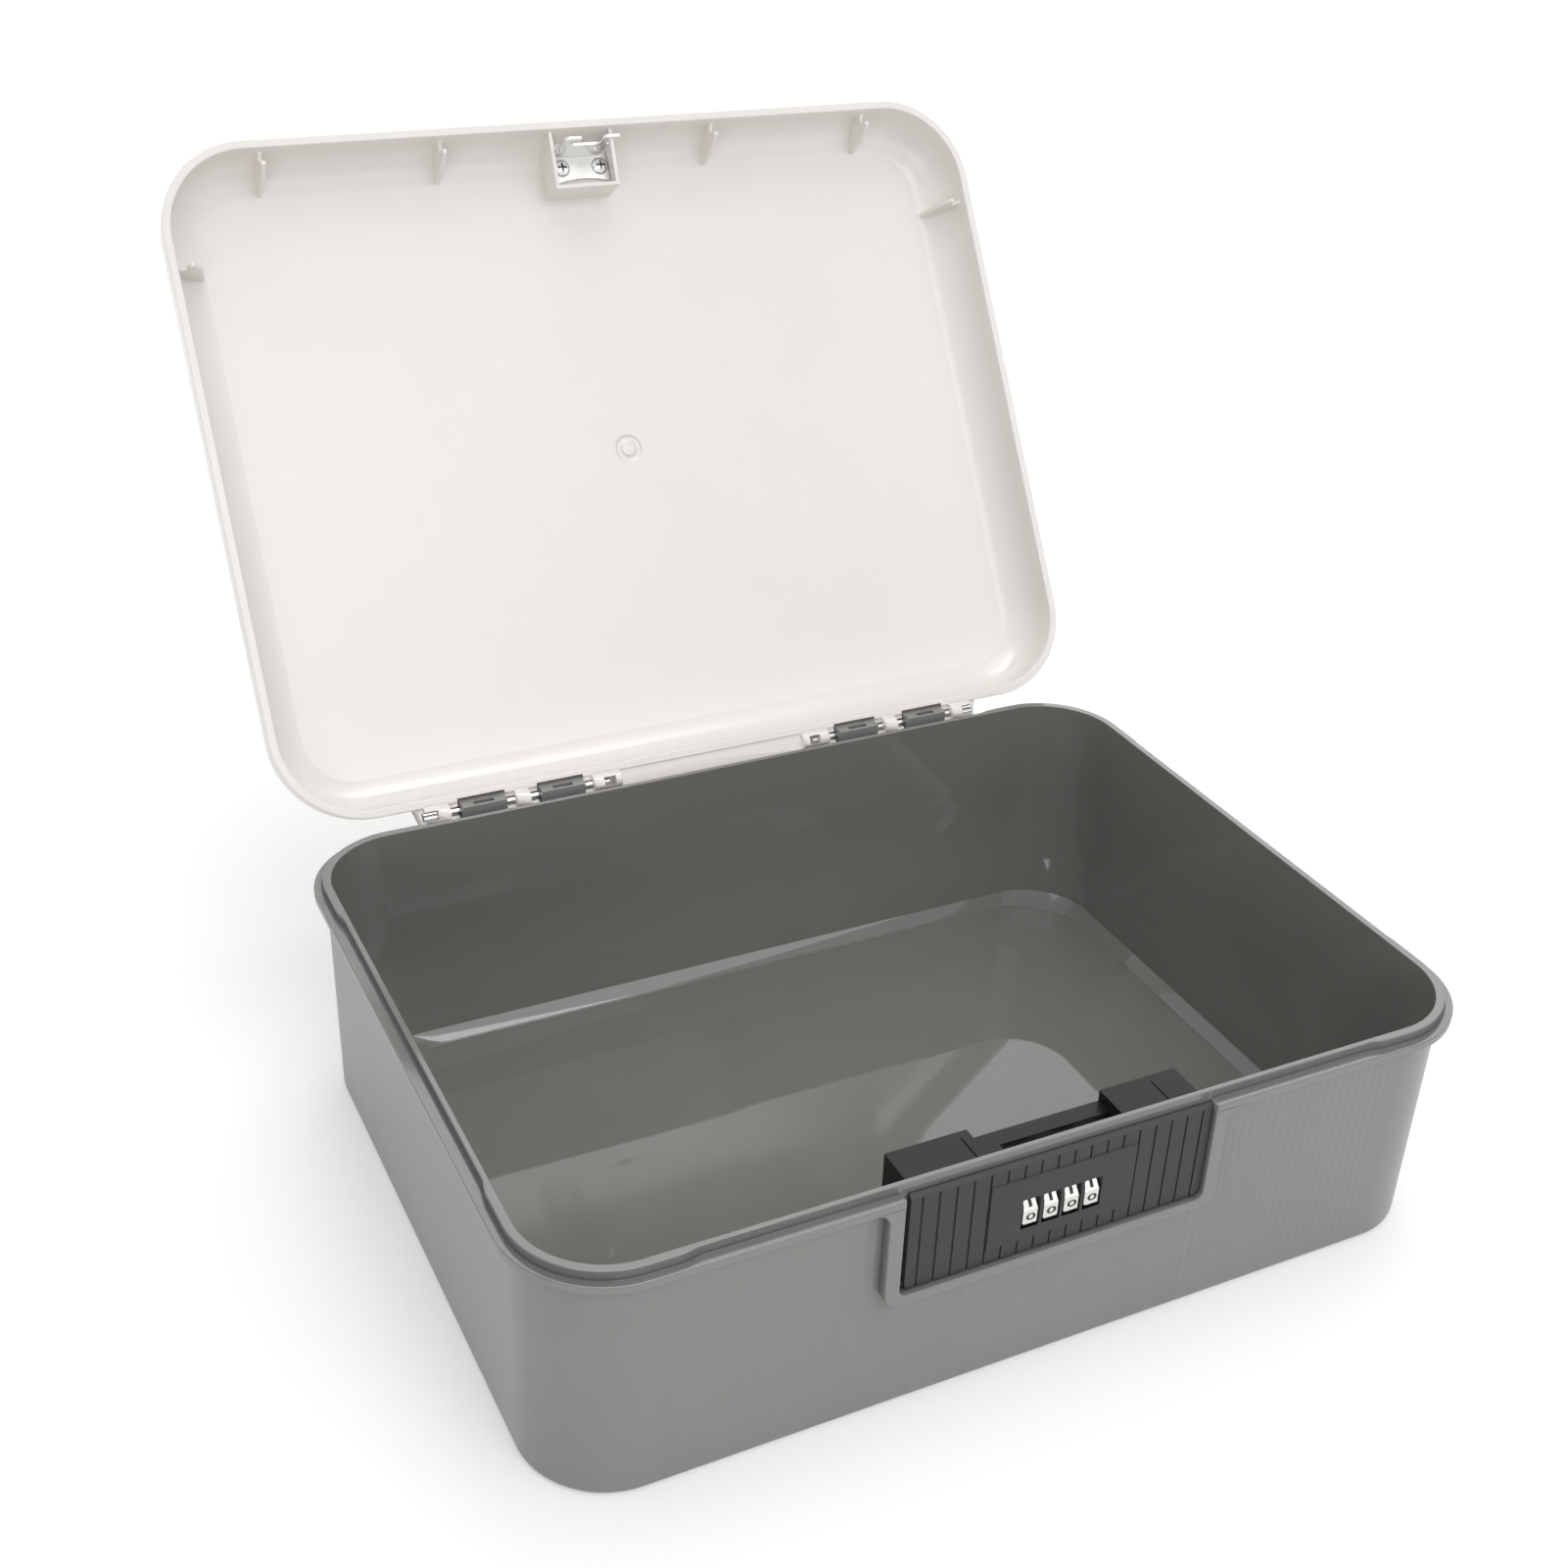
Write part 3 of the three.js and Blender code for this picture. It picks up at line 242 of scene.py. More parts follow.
greyOutside = makeFinish("greyOutside", greyOutsideLook)
greyRim = makeFinish("greyRim", greyRimLook)
greyInsideShaded = makeFinish("greyInsideShaded", greyInsideShadedLook)
whitePlastic = makeFinish("whitePlastic", whiteLook)
blackFace = makeFinish("blackFace", blackFaceLook)
blackHousing = makeFinish("blackHousing", blackHousingLook)
dialMetal = makeFinish("dialMetal", dialLook)
brightSteel = makeFinish("brightSteel", steelLook)
brightZinc = makeFinish("brightZinc", zincLook)
recessShadeSteel = makeFinish("recessShadeSteel", recessShadeLook)
digitInk = makeFinish("digitInk", inkLook)
print("finishes made")


# Mesh helpers.
def linked(thing):
    # puts the object in the scene and hands it back
    bpy.context.scene.collection.objects.link(thing)
    return thing


def meshObject(name, points, faces, materials, faceFinish=None, smooth=True):
    # points (n, 3) in millimetres, faces a list of index rows, put in place in one go
    mesh = bpy.data.meshes.new(name)
    mesh.from_pydata((np.asarray(points) * mm).tolist(), [], faces)
    for material in materials:
        mesh.materials.append(material)
    if faceFinish is not None:
        mesh.polygons.foreach_set("material_index", np.asarray(faceFinish, dtype=np.int32))
    mesh.polygons.foreach_set("use_smooth", np.full(len(mesh.polygons), smooth))
    mesh.update()
    return linked(bpy.data.objects.new(name, mesh))


def facesOutward(points, faces):
    # the signed volume under all faces is negative when they point inwards, and then each is reversed
    # a quad counts as two triangles, and the caps with more corners, which lie flat, are left out
    first = np.array([face[:3] for face in faces if len(face) < 5])
    second = np.array([[face[0], face[2], face[3]] for face in faces if len(face) == 4])
    volume = 0.0
    for part in (first, second):
        if len(part):
            a, b, c = points[part[:, 0]], points[part[:, 1]], points[part[:, 2]]
            volume += np.einsum("ij,ij->i", a, np.cross(b, c)).sum() / 6
    return faces if volume > 0 else [face[::-1] for face in faces]


def gridQuads(rows, columns):
    # quads of a grid whose columns close on themselves, as (rows - 1, columns, 4)
    r = np.arange(rows - 1)[:, None] * columns
    c = np.arange(columns)[None, :]
    n = (c + 1) % columns
    return np.stack([r + c, r + n, r + n + columns, r + c + columns], axis=-1)


def markSharp(mesh, pairs):
    # edges whose two ends are both in one of the given index sets become creases
    ends = np.empty(len(mesh.edges) * 2, dtype=np.int32)
    mesh.edges.foreach_get("vertices", ends)
    ends = ends.reshape(-1, 2)
    hit = np.zeros(len(ends), dtype=bool)
    for low, high in pairs:
        hit |= ((ends >= low) & (ends < high)).all(axis=1)
    sharp = mesh.attributes.get("sharp_edge") or mesh.attributes.new("sharp_edge", "BOOLEAN", "EDGE")
    sharp.data.foreach_set("value", hit)


def weighNormals(thing):
    # a corner's normal follows the faces round it by their area
    weighted = thing.modifiers.new("weighted", "WEIGHTED_NORMAL")
    weighted.keep_sharp = True
    weighted.mode = "FACE_AREA"
    weighted.weight = 80


def turnDegrees(start, end, steps):
    # even steps from one angle in degrees to another, as radians
    return np.radians(np.linspace(start, end, steps + 1))


def arcPoints(cx, cy, radius, start, end, steps):
    # the centre plus the radius times the cosine and the sine of each angle
    angles = turnDegrees(start, end, steps)
    return np.stack([cx + radius * np.cos(angles), cy + radius * np.sin(angles)], axis=1)


def smoothStep(low, high, value):
    # the share s of the way from low to high, kept in 0 to 1 and eased as s squared times (3 less 2 s)
    share = np.clip((value - low) / (high - low), 0, 1)
    return share * share * (3 - 2 * share)


def places(low, high, step, extra=()):
    # even places between two ends, with the extra ones put in, none doubled
    count = max(1, round((high - low) / step))
    spread = np.concatenate([np.linspace(low, high, count + 1), [e for e in extra if low < e < high]])
    spread = np.sort(spread)
    keep = np.concatenate([[True], np.diff(spread) > 1e-5])
    return spread[keep]


# The mouth that tub and lid are both drawn round.
mouth = {"length": 340.0, "depth": 254.0, "radius": 29.5, "cornerSteps": 26}
halfX, halfY, cornerR = mouth["length"] / 2, mouth["depth"] / 2, mouth["radius"]
straightX, straightY = halfX - cornerR, halfY - cornerR
hairline = 1e-4  # mm, to either side of a sudden step
touching = 0.01  # mm, how near counts as the same place
squareOn = 0.999  # a normal's share along x or y, past which the mouth is straight there


def bothEnds(middle, steps):
    # places about a middle, on the right and on the left
    return [side * (middle + step) for side in (-1, 1) for step in steps]


def mouthLoop(frontX, backX, sideY):
    # base points and outward normals, anticlockwise from the right side's front end
    right = np.stack([np.full(len(sideY), halfX), sideY], axis=1)
    back = np.stack([backX[::-1], np.full(len(backX), halfY)], axis=1)
    left = np.stack([np.full(len(sideY), -halfX), sideY[::-1]], axis=1)
    front = np.stack([frontX, np.full(len(frontX), -halfY)], axis=1)
    base, normal = [], []
    sides = ((right, (1, 0)), (back, (0, 1)), (left, (-1, 0)), (front, (0, -1)))
    centres = ((straightX, straightY), (-straightX, straightY),
               (-straightX, -straightY), (straightX, -straightY))
    for index, (line, facing) in enumerate(sides):
        base.append(line)
        normal.append(np.tile(np.array(facing, dtype=float), (len(line), 1)))
        angles = turnDegrees(index * 90, index * 90 + 90, mouth["cornerSteps"])[1:-1]
        facingOut = np.stack([np.cos(angles), np.sin(angles)], axis=1)
        base.append(np.array(centres[index]) + cornerR * facingOut)
        normal.append(facingOut)
    return np.concatenate(base), np.concatenate(normal)


def loopRows(base, normal, rows):
    # each row is (offset, height, share, inset): the straight sides move in by the inset along x and y while
    # the corners keep their radius, then offset goes along the normal, and all is scaled by share
    points = np.empty((len(rows), len(base), 3))
    core = base - cornerR * normal
    for index, (offset, z, share, inset) in enumerate(rows):
        drawnIn = core * (1 - np.array(inset) / (straightX, straightY)) + cornerR * normal
        flat = (drawnIn + np.reshape(offset, (-1, 1)) * normal) * share
        points[index, :, :2] = flat
        points[index, :, 2] = z
    return points


# Tub: one profile carried round the mouth, with the lip eased at its jogs.
tubLook = {
    "height": 93.3, "wall": 2.1, "floor": 2.6, "ledge": 90.2, "flange": 87.2, "flangeReach": 6.5,
    "draft": 0.5, "footRadius": 2.5, "lean": 0.4, "innerTop": 90.0, "backStep": 6.0, "sideStep": 5.0,
    "underShares": (0.05, 0.4, 0.7, 0.9, 0.98),
    "lowRows": (3.2, 5.0, 20.0, 38.0), "highRows": (70.0, 80.0, 84.0),
    "curveTurn": 19.5, "curveRadius": 103.6, "curveTall": 48.0, "curveInset": (6.3, 10.7),
    "stripRun": (5.6, 6.4), "stripRise": 2.8, "stripDip": 0.2, "step": 0.25,
    "lipThin": 1.9, "lipThick": 3.1, "jogX": 126.5, "jogY": 79.0, "jogHalf": 4.0,
    "edge": 0.35, "lipEdge": 0.3, "hollow": 0.7, "grooveWidth": 0.7, "grooveDepth": 0.5,
    # the groove's section from its outer side in, as shares of its width and depth
    "groove": ((1.0, 0.0), (0.86, 0.3), (0.7, 0.8), (0.5, 1.0), (0.25, 0.95), (0.08, 0.6), (0.0, 0.0)),
    "flutePitch": 3.4, "fluteDepth": 0.14, "fluteEnd": 6.0, "fluteFoot": (2.5, 5.0), "fluteHead": 2.0,
    "recessHalf": 57.6, "recessEdge": 0.4, "recessSteps": (0.05, 0.12, 0.2, 0.3, 0.4),
    "openingHalf": 44.5, "openingLow": 56.67, "openingHigh": 86.5,
    "floorSag": -0.9, "floorShares": (0.995, 0.97, 0.93, 0.88, 0.8, 0.7, 0.58, 0.45, 0.3, 0.15, 0.05),
}
outsideSlot, insideSlot, rimSlot = range(3)  # the tub's finishes, in the order of its material slots


def makeTub(look):
    # every row is an outward offset and a height of the profile, and is carried round the mouth's loop
    edge, recess, jogHalf, opening = look["edge"], look["recessHalf"], look["jogHalf"], look["openingHalf"]
    jogSteps = np.linspace(-jogHalf, jogHalf, 11)
    cuts = bothEnds(recess, (-hairline, hairline, *look["recessSteps"])) + bothEnds(opening, (0,))
    frontX = places(-straightX, straightX, look["flutePitch"] / 4, cuts)
    backX = places(-straightX, straightX, look["backStep"], bothEnds(look["jogX"], jogSteps))
    sideY = places(-straightY, straightY, look["sideStep"], bothEnds(look["jogY"], jogSteps))
    base, normal = mouthLoop(frontX, backX, sideY)
    x, y = base[:, 0], base[:, 1]
    onFront = normal[:, 1] < -squareOn
    onSide = np.abs(normal[:, 0]) > squareOn
    along = np.where(onSide, np.abs(y) - look["jogY"], np.abs(x) - look["jogX"])
    lip = look["lipThin"] + (look["lipThick"] - look["lipThin"]) * smoothStep(-jogHalf, jogHalf, along)
    lip[~onSide & (np.abs(normal[:, 1]) < squareOn)] = look["lipThick"]
    # in the recess the flange stops at the wall, and its cut edge is rounded
    cutEdge = look["recessEdge"]
    into = np.clip(recess + cutEdge - np.abs(x), 0, cutEdge)
    rounded = look["flangeReach"] - cutEdge + np.sqrt(np.clip(cutEdge ** 2 - into ** 2, 0, None))
    limit = np.where(onFront, rounded, np.inf)
    limit[onFront & (np.abs(x) < recess)] = look["wall"]
    # the front wall's flutes are a cosine along x, which fades out at both ends
    flute = np.where(onFront, look["fluteDepth"] * (np.cos(2 * np.pi * x / look["flutePitch"]) - 1) / 2, 0.0)
    flute *= smoothStep(straightX, straightX - look["fluteEnd"], np.abs(x))
    rows, slots, creases = [], [], []

    def row(offset, z, share=1.0, slot=outsideSlot, inset=(0, 0)):
        rows.append((np.minimum(np.broadcast_to(offset, x.shape), limit), z, share, inset))
        slots.append(slot)

    def roundRim(offset, z, radius, start, slot=rimSlot):
        # a quarter turn about (offset, z), in the rim's finish past its first row
        for angle in turnDegrees(start, start + 90, 5):
            row(offset + radius * math.cos(angle), z + radius * math.sin(angle), slot=slot)
            slot = rimSlot

    foot = look["footRadius"]
    footCentre = look["wall"] - look["draft"] - foot
    for share in look["underShares"]:
        row(footCentre, 0.0, share)
    for angle in turnDegrees(-90, 0, 8):
        row(footCentre + foot * math.cos(angle), foot + foot * math.sin(angle))
    # outer wall, leaning out by the draft towards its top
    wallTop = look["flange"] - look["hollow"]
    for z in (*look["lowRows"], look["openingLow"], *look["highRows"], wallTop):
        taper = look["draft"] * (1 - (z - foot) / (wallTop - foot))
        fromFoot = smoothStep(*look["fluteFoot"], z)
        toHead = smoothStep(wallTop, wallTop - look["fluteHead"], z)
        row(look["wall"] - taper + flute * fromFoot * toHead, z)
    outLow, outHigh = len(rows) - 2 - len(look["highRows"]), len(rows) - 1
    for angle in turnDegrees(180, 90, 5)[1:]:
        row(look["wall"] + look["hollow"] * (1 + math.cos(angle)), wallTop + look["hollow"] * math.sin(angle))
    reach = look["flangeReach"]
    roundRim(reach - edge, look["flange"] + edge, edge, -90, outsideSlot)
    roundRim(reach - edge, look["ledge"] - edge, edge, 0, outsideSlot)
    # a shallow groove at the lip's foot, left out in the recess
    groove = look["grooveDepth"] * (limit > reach - touching)
    for out, share in look["groove"]:
        row(lip + out * look["grooveWidth"], look["ledge"] - share * groove, slot=rimSlot)
    eased = look["lipEdge"]
    roundRim(lip - eased, look["height"] - eased, eased, 0)
    roundRim(eased, look["height"] - eased, eased, 90)
    # inner wall, a long curve at its foot, a sloping strip and a small step down to the floor
    for z in (look["innerTop"], look["openingHigh"], look["openingLow"]):
        row(-look["lean"] * (1 - z / look["height"]), z, slot=insideSlot)
    inHigh, inLow = len(rows) - 2, len(rows) - 1
    lean, turn, step = look["lean"], math.radians(look["curveTurn"]), look["step"]
    curve, run = np.array(look["curveInset"]), np.array(look["stripRun"])
    stripTop = look["floor"] + step + look["stripRise"]
    for angle in np.linspace(0, turn, 11):
        share = look["curveRadius"] * (1 - math.cos(angle)) / curve[1]
        height = stripTop + look["curveTall"] - look["curveRadius"] * math.sin(angle)
        row(-lean, height, slot=insideSlot, inset=curve * share)
    row(-lean, stripTop, slot=insideSlot, inset=curve)
    creases.append(len(rows) - 1)
    row(-lean, stripTop - look["stripRise"] / 2 - look["stripDip"], slot=insideSlot, inset=curve + run / 2)
    for angle in turnDegrees(0, 90, 4):
        row(-lean - step * math.sin(angle), look["floor"] + step * math.cos(angle),
            slot=insideSlot, inset=curve + run)
    creases.append(len(rows) - 1)
    for share in look["floorShares"]:
        row(-lean - step, look["floor"] + look["floorSag"] * (1 - share ** 2), share,
            slot=insideSlot, inset=curve + run)
    points = loopRows(base, normal, rows)
    count = len(base)
    # the opening behind the sliding face: the wall's quads come out, and a band goes in round the hole
    nextX = np.roll(x, -1)
    inOpening = onFront & np.roll(onFront, -1) & (x > -opening - touching) & (nextX < opening + touching)
    columns = np.flatnonzero(inOpening)
    quads = gridQuads(len(rows), count)
    keep = np.ones(quads.shape[:2], dtype=bool)
    keep[outLow:outHigh, columns] = False
    keep[inHigh:inLow, columns] = False
    faces = quads[keep].tolist()
    faceSlots = np.repeat(np.array(slots[1:])[:, None], count, axis=1)[keep].tolist()
    for outer, inner, turned in ((outHigh, inHigh, 1), (outLow, inLow, -1)):
        for c in columns:
            quad = [outer * count + c, inner * count + c, inner * count + c + 1, outer * count + c + 1]
            faces.append(quad[::turned])
            faceSlots.append(outsideSlot)
    ringRows = [*range(outLow, outHigh + 1), *range(inHigh, inLow + 1)]
    for c, turned in ((columns[0], -1), (columns[-1] + 1, 1)):
        faces.append([r * count + c for r in ringRows][::turned])
        faceSlots.append(outsideSlot)
    flat = points.reshape(-1, 3)
    faces.append(list(range(count))[::-1])
    faces.append([(len(rows) - 1) * count + c for c in range(count)])
    faceSlots += [outsideSlot, insideSlot]
    faces = facesOutward(flat, faces)
    tub = meshObject("tubMoulding", flat, faces, [greyOutside, greyInsideShaded, greyRim], faceSlots)
    markSharp(tub.data, [(r * count, (r + 1) * count) for r in creases])
    weighNormals(tub)
    return tub


tubMoulding = makeTub(tubLook)
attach(tubMoulding, "tub")
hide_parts("tub_shell")
print("tub made:", len(tubMoulding.data.polygons), "faces")


# Solids with a flat outline, cut and then edge-rounded.
overrun = 1.0  # mm that a cutter runs past what it cuts


def prismObject(name, outline, low, high, axis, materials):
    # the outline's two coordinates follow the other two axes in order, and the prism runs from low to high
    outline = np.asarray(outline, dtype=float)
    count = len(outline)
    points = np.empty((2 * count, 3))
    others = [i for i in range(3) if i != axis]
    points[:count, others] = outline
    points[count:, others] = outline
    points[:count, axis] = low
    points[count:, axis] = high
    c = np.arange(count)
    n = (c + 1) % count
    sides = np.stack([c, n, n + count, c + count], axis=1).tolist()
    faces = sides + [list(range(count))[::-1], list(range(count, 2 * count))]
    # the shoelace area of the outline says which way the sides face
    area = np.sum(outline[:, 0] * np.roll(outline[:, 1], -1) - np.roll(outline[:, 0], -1) * outline[:, 1])
    if (area > 0) == (axis == 1):
        faces = [face[::-1] for face in faces]
    return meshObject(name, points, faces, materials, smooth=False)


def boxObject(name, low, high, materials):
    outline = [(low[1], low[2]), (high[1], low[2]), (high[1], high[2]), (low[1], high[2])]
    return prismObject(name, outline, low[0], high[0], 0, materials)


def roundOutline(cx, cy, radius, steps=48):
    # a full circle, without its last point, which is its first
    return arcPoints(cx, cy, radius, 0, 360, steps)[:-1]


def combine(body, others, operation):
    # exact booleans, applied at once so that the other solids can go
    for other in others:
        step = body.modifiers.new("combine", "BOOLEAN")
        step.operation = operation
        step.solver = "EXACT"
        step.material_mode = "TRANSFER"
        step.object = other
    bpy.context.view_layer.update()
    made = bpy.data.meshes.new_from_object(body.evaluated_get(bpy.context.evaluated_depsgraph_get()))
    body.modifiers.clear()
    body.data = made
    for other in others:
        bpy.data.objects.remove(other)
    return body


def cleanMesh(thing, dissolve=0.5):
    # neighbours that turn by less than the dissolve angle become one face, which is split into
    # triangles where it is left with more than four corners
    work = bmesh.new()
    work.from_mesh(thing.data)
    bmesh.ops.remove_doubles(work, verts=work.verts, dist=0.002 * mm)
    bmesh.ops.dissolve_limit(work, angle_limit=math.radians(dissolve), verts=work.verts, edges=work.edges)
    bmesh.ops.triangulate(work, faces=[face for face in work.faces if len(face.verts) > 4])
    work.to_mesh(thing.data)
    work.free()


def shadeSmooth(thing):
    thing.data.polygons.foreach_set("use_smooth", np.full(len(thing.data.polygons), True))


def roundEdges(thing, width, segments, angle):
    # edges that turn by more than the angle are rounded, with normals led by the large faces
    shadeSmooth(thing)
    bevel = thing.modifiers.new("roundEdges", "BEVEL")
    bevel.width = width * mm
    bevel.segments = segments
    bevel.limit_method = "ANGLE"
    bevel.angle_limit = math.radians(angle)
    bevel.use_clamp_overlap = True
    bevel.miter_outer = "MITER_ARC"
    weighNormals(thing)
    thing.modifiers["weighted"].weight = 50


hinge = {"y": 137.1, "z": 91.6, "open": 122.3, "ears": (-99.8, -66.8, 66.8, 99.8)}


def turnLid(thing):
    # a piece drawn on the shut lid is turned open about the pin
    pin = Matrix.Translation((0, hinge["y"] * mm, hinge["z"] * mm))
    thing.data.transform(pin @ Matrix.Rotation(math.radians(-hinge["open"]), 4, "X") @ pin.inverted())
    thing.data.update()


def sweptRing(name, sections, materials):
    # closed cross-sections (rows, points, 3) joined in order, with a flat cap at each end
    rows, count = sections.shape[:2]
    faces = gridQuads(rows, count).reshape(-1, 4).tolist()
    faces += [list(range(count))[::-1], list(range((rows - 1) * count, rows * count))]
    flat = sections.reshape(-1, 3)
    return meshObject(name, flat, facesOutward(flat, faces), materials)


def turnedBar(name, profile, centre, axis, materials, steps=40):
    # (along, radius) pairs turned about an axis through centre
    profile = np.asarray(profile, dtype=float)
    angles = turnDegrees(0, 360, steps)[:-1]
    others = [i for i in range(3) if i != axis]
    sections = np.empty((len(profile), steps, 3))
    sections[:, :, axis] = centre[axis] + profile[:, :1]
    sections[:, :, others[0]] = centre[others[0]] + profile[:, 1:] * np.cos(angles)
    sections[:, :, others[1]] = centre[others[1]] + profile[:, 1:] * np.sin(angles)
    return sweptRing(name, sections, materials)


# Lock frame: a band that runs round the recess and hangs from the flange.
lockFrameLook = {
    "half": 62.8, "low": 47.6, "corner": 6.0, "fillet": 5.0, "recessHalf": 57.6, "recessLow": 51.4,
    "recessCorner": 3.0, "top": 87.7, "front": -133.5, "back": -128.1, "edge": 0.5, "recessEdge": 0.4,
}


def halfPath(parts):
    # (points, normals) pieces of the right half, then the same mirrored to the left in reverse
    halves = [np.concatenate(side) for side in zip(*parts)]
    return [np.concatenate([half, (half * (-1, 1))[::-1][1:]]) for half in halves]


def linePart(start, end, normal, steps, skip=0):
    # even points from start to end, with one normal for all
    points = np.linspace(start, end, steps + 1)[skip:]
    return points, np.tile(np.array(normal, dtype=float), (len(points), 1))


def arcPart(cx, cy, radius, start, end, steps, side, skip=0):
    # points of an arc, with normals away from its centre where side is 1 and towards it where it is -1
    points = arcPoints(cx, cy, radius, start, end, steps)[skip:]
    return points, side * (points - np.array([cx, cy])) / radius


def makeLockFrame(look):
    # outer and inner outlines have matching points; across the band run two rounded edges and a flat front
    half, low, corner, fillet = look["half"], look["low"], look["corner"], look["fillet"]
    inHalf, inLow, inCorner, top = look["recessHalf"], look["recessLow"], look["recessCorner"], look["top"]
    filletZ = top - look["edge"] - fillet
    outer = halfPath([
        arcPart(half + fillet, filletZ, fillet, 90, 180, 12, -1),
        linePart((half, filletZ), (half, low + corner), (1, 0), 6, 1),
        arcPart(half - corner, low + corner, corner, 0, -90, 16, 1, 1),
        linePart((half - corner, low), (0, low), (0, -1), 12, 1),
    ])
    inner = halfPath([
        linePart((inHalf, top), (inHalf, filletZ), (-1, 0), 12),
        linePart((inHalf, filletZ), (inHalf, inLow + inCorner), (-1, 0), 6, 1),
        arcPart(inHalf - inCorner, inLow + inCorner, inCorner, 0, -90, 16, -1, 1),
        linePart((inHalf - inCorner, inLow), (0, inLow), (0, 1), 12, 1),
    ])
    sections = []
    edge, inEdge = look["edge"], look["recessEdge"]

    def put(path, inset, y):
        flat = path[0] - path[1] * inset
        sections.append(np.stack([flat[:, 0], np.full(len(flat), y), flat[:, 1]], axis=1))

    put(outer, 0, look["back"])
    for angle in turnDegrees(0, 90, 5):
        put(outer, edge * (1 - math.cos(angle)), look["front"] + edge * (1 - math.sin(angle)))
    for angle in turnDegrees(90, 0, 5):
        put(inner, inEdge * (1 - math.cos(angle)), look["front"] + inEdge * (1 - math.sin(angle)))
    put(inner, 0, look["back"])
    band = sweptRing("lockFrameBand", np.stack(sections, axis=1), [greyOutside])
    weighNormals(band)
    return band


lockFrameBand = makeLockFrame(lockFrameLook)

# Ears that carry the lid's pins, each with a moulding slot behind its front ridge.
earLook = {
    "half": 9.2, "radius": 4.0, "top": 3.2, "front": 3.6, "ridge": 0.5, "root": 132.5, "foot": 87.2,
    "bore": 1.35, "slotLength": 8.3, "slotWidth": 2.3, "slotDepth": 2.6, "slotSkin": 0.9, "edge": 0.25,
}


def makeEar(look, x, name):
    # its side outline is an arc about the pin that meets a ridge in front, and it is drawn along x
    y, z = hinge["y"], hinge["z"]
    meet = math.degrees(math.asin(look["top"] / look["radius"]))
    frontY, topZ = y - look["front"], z + look["top"]
    outline = [(look["root"], look["foot"])]
    outline += arcPoints(y, z, look["radius"], -90, meet, 28).tolist()
    outline += arcPoints(frontY + look["ridge"], topZ - look["ridge"], look["ridge"], 90, 180, 6).tolist()
    outline += [(frontY, tubLook["ledge"]), (look["root"], tubLook["ledge"])]
    ear = prismObject(name, outline, x - look["half"], x + look["half"], 0, [greyOutside])
    bore = prismObject("cut", roundOutline(y, z, look["bore"]),
                       x - look["half"] - overrun, x + look["half"] + overrun, 0, [greyOutside])
    slotY = frontY + look["slotSkin"]
    slot = boxObject("cut", (x - look["slotLength"] / 2, slotY, topZ - look["slotDepth"]),
                     (x + look["slotLength"] / 2, slotY + look["slotWidth"], topZ + overrun), [greyOutside])
    combine(ear, [bore, slot], "DIFFERENCE")
    cleanMesh(ear)
    roundEdges(ear, look["edge"], 3, 35)
    return ear


tubExtras = [lockFrameBand]
tubExtras += [makeEar(earLook, x, "hingeEar%d" % (index + 1)) for index, x in enumerate(hinge["ears"])]

# Bosses inside the front wall, hollow for the housing's screws.
wallBossLook = {
    "x": 49.0, "z": (56.0, 75.0), "start": -128.1, "end": -119.3, "floor": -126.7,
    "radius": 3.0, "bore": 1.36, "edge": 0.4, "chamfer": 0.3,
}
nearAxis = 0.01  # mm, the radius at which a turned profile starts and ends


def makeWallBoss(look, x, z, name):
    # a profile turned about y, from the wall over the eased end and down the bore to its floor
    start, end, radius, bore = look["start"], look["end"], look["radius"], look["bore"]
    edge, chamfer = look["edge"], look["chamfer"]
    profile = [(start, nearAxis), (start, radius), (end - edge, radius),
               (end - edge / 4, radius - edge * 0.3), (end, radius - edge), (end, bore + chamfer),
               (end - chamfer, bore), (look["floor"], bore), (look["floor"], nearAxis)]
    boss = turnedBar(name, profile, (x, 0, z), 1, [greyInsideShaded])
    weighNormals(boss)
    return boss


bossPlaces = [(side * wallBossLook["x"], z) for side in (1, -1) for z in wallBossLook["z"]]
tubExtras += [makeWallBoss(wallBossLook, x, z, "wallBoss%d" % (index + 1))
              for index, (x, z) in enumerate(bossPlaces)]
for piece in tubExtras:
    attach(piece, "tub")
    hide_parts("tub_shell")
print("lock frame, ears and bosses made")


# Lid: one profile from the middle of its panel, round the rim and over the crown.
lidLook = {
    "rim": 90.5, "edgeHeight": 114.3, "panel": 112.0, "reach": 6.74, "skirt": 3.4, "draft": 0.3,
    "outerRound": 15.0, "innerRound": 16.0, "innerTurn": 78, "crown": 1.4, "edge": 0.5, "sideStep": 5.0,
    "panelShares": (0.13, 0.2, 0.3, 0.42, 0.54, 0.66, 0.76, 0.85, 0.92, 0.97, 0.992),
    "innerRows": (95.0, 93.6, 92.4),
    "outerRows": (91.6, 92.4, 93.2, 94.0, 94.8, 95.5, 96.0, 96.3, 96.49, 96.52, 97.4, 98.4),
    "crownShares": (0.992, 0.97, 0.92, 0.85, 0.75, 0.62, 0.48, 0.33, 0.18, 0.05),
    "gateCore": 0.3, "gateNub": 3.0, "gateRadius": 5.8, "gateDepth": 0.35,
    "gateEdge": ((0.25, 0), (0.08, 0.05), (0, 0.14)), "gateApron": ((9.0, -0.004), (13.0, -0.008)),
    "windowHalf": 9.8, "windowRadius": 4.9,
}


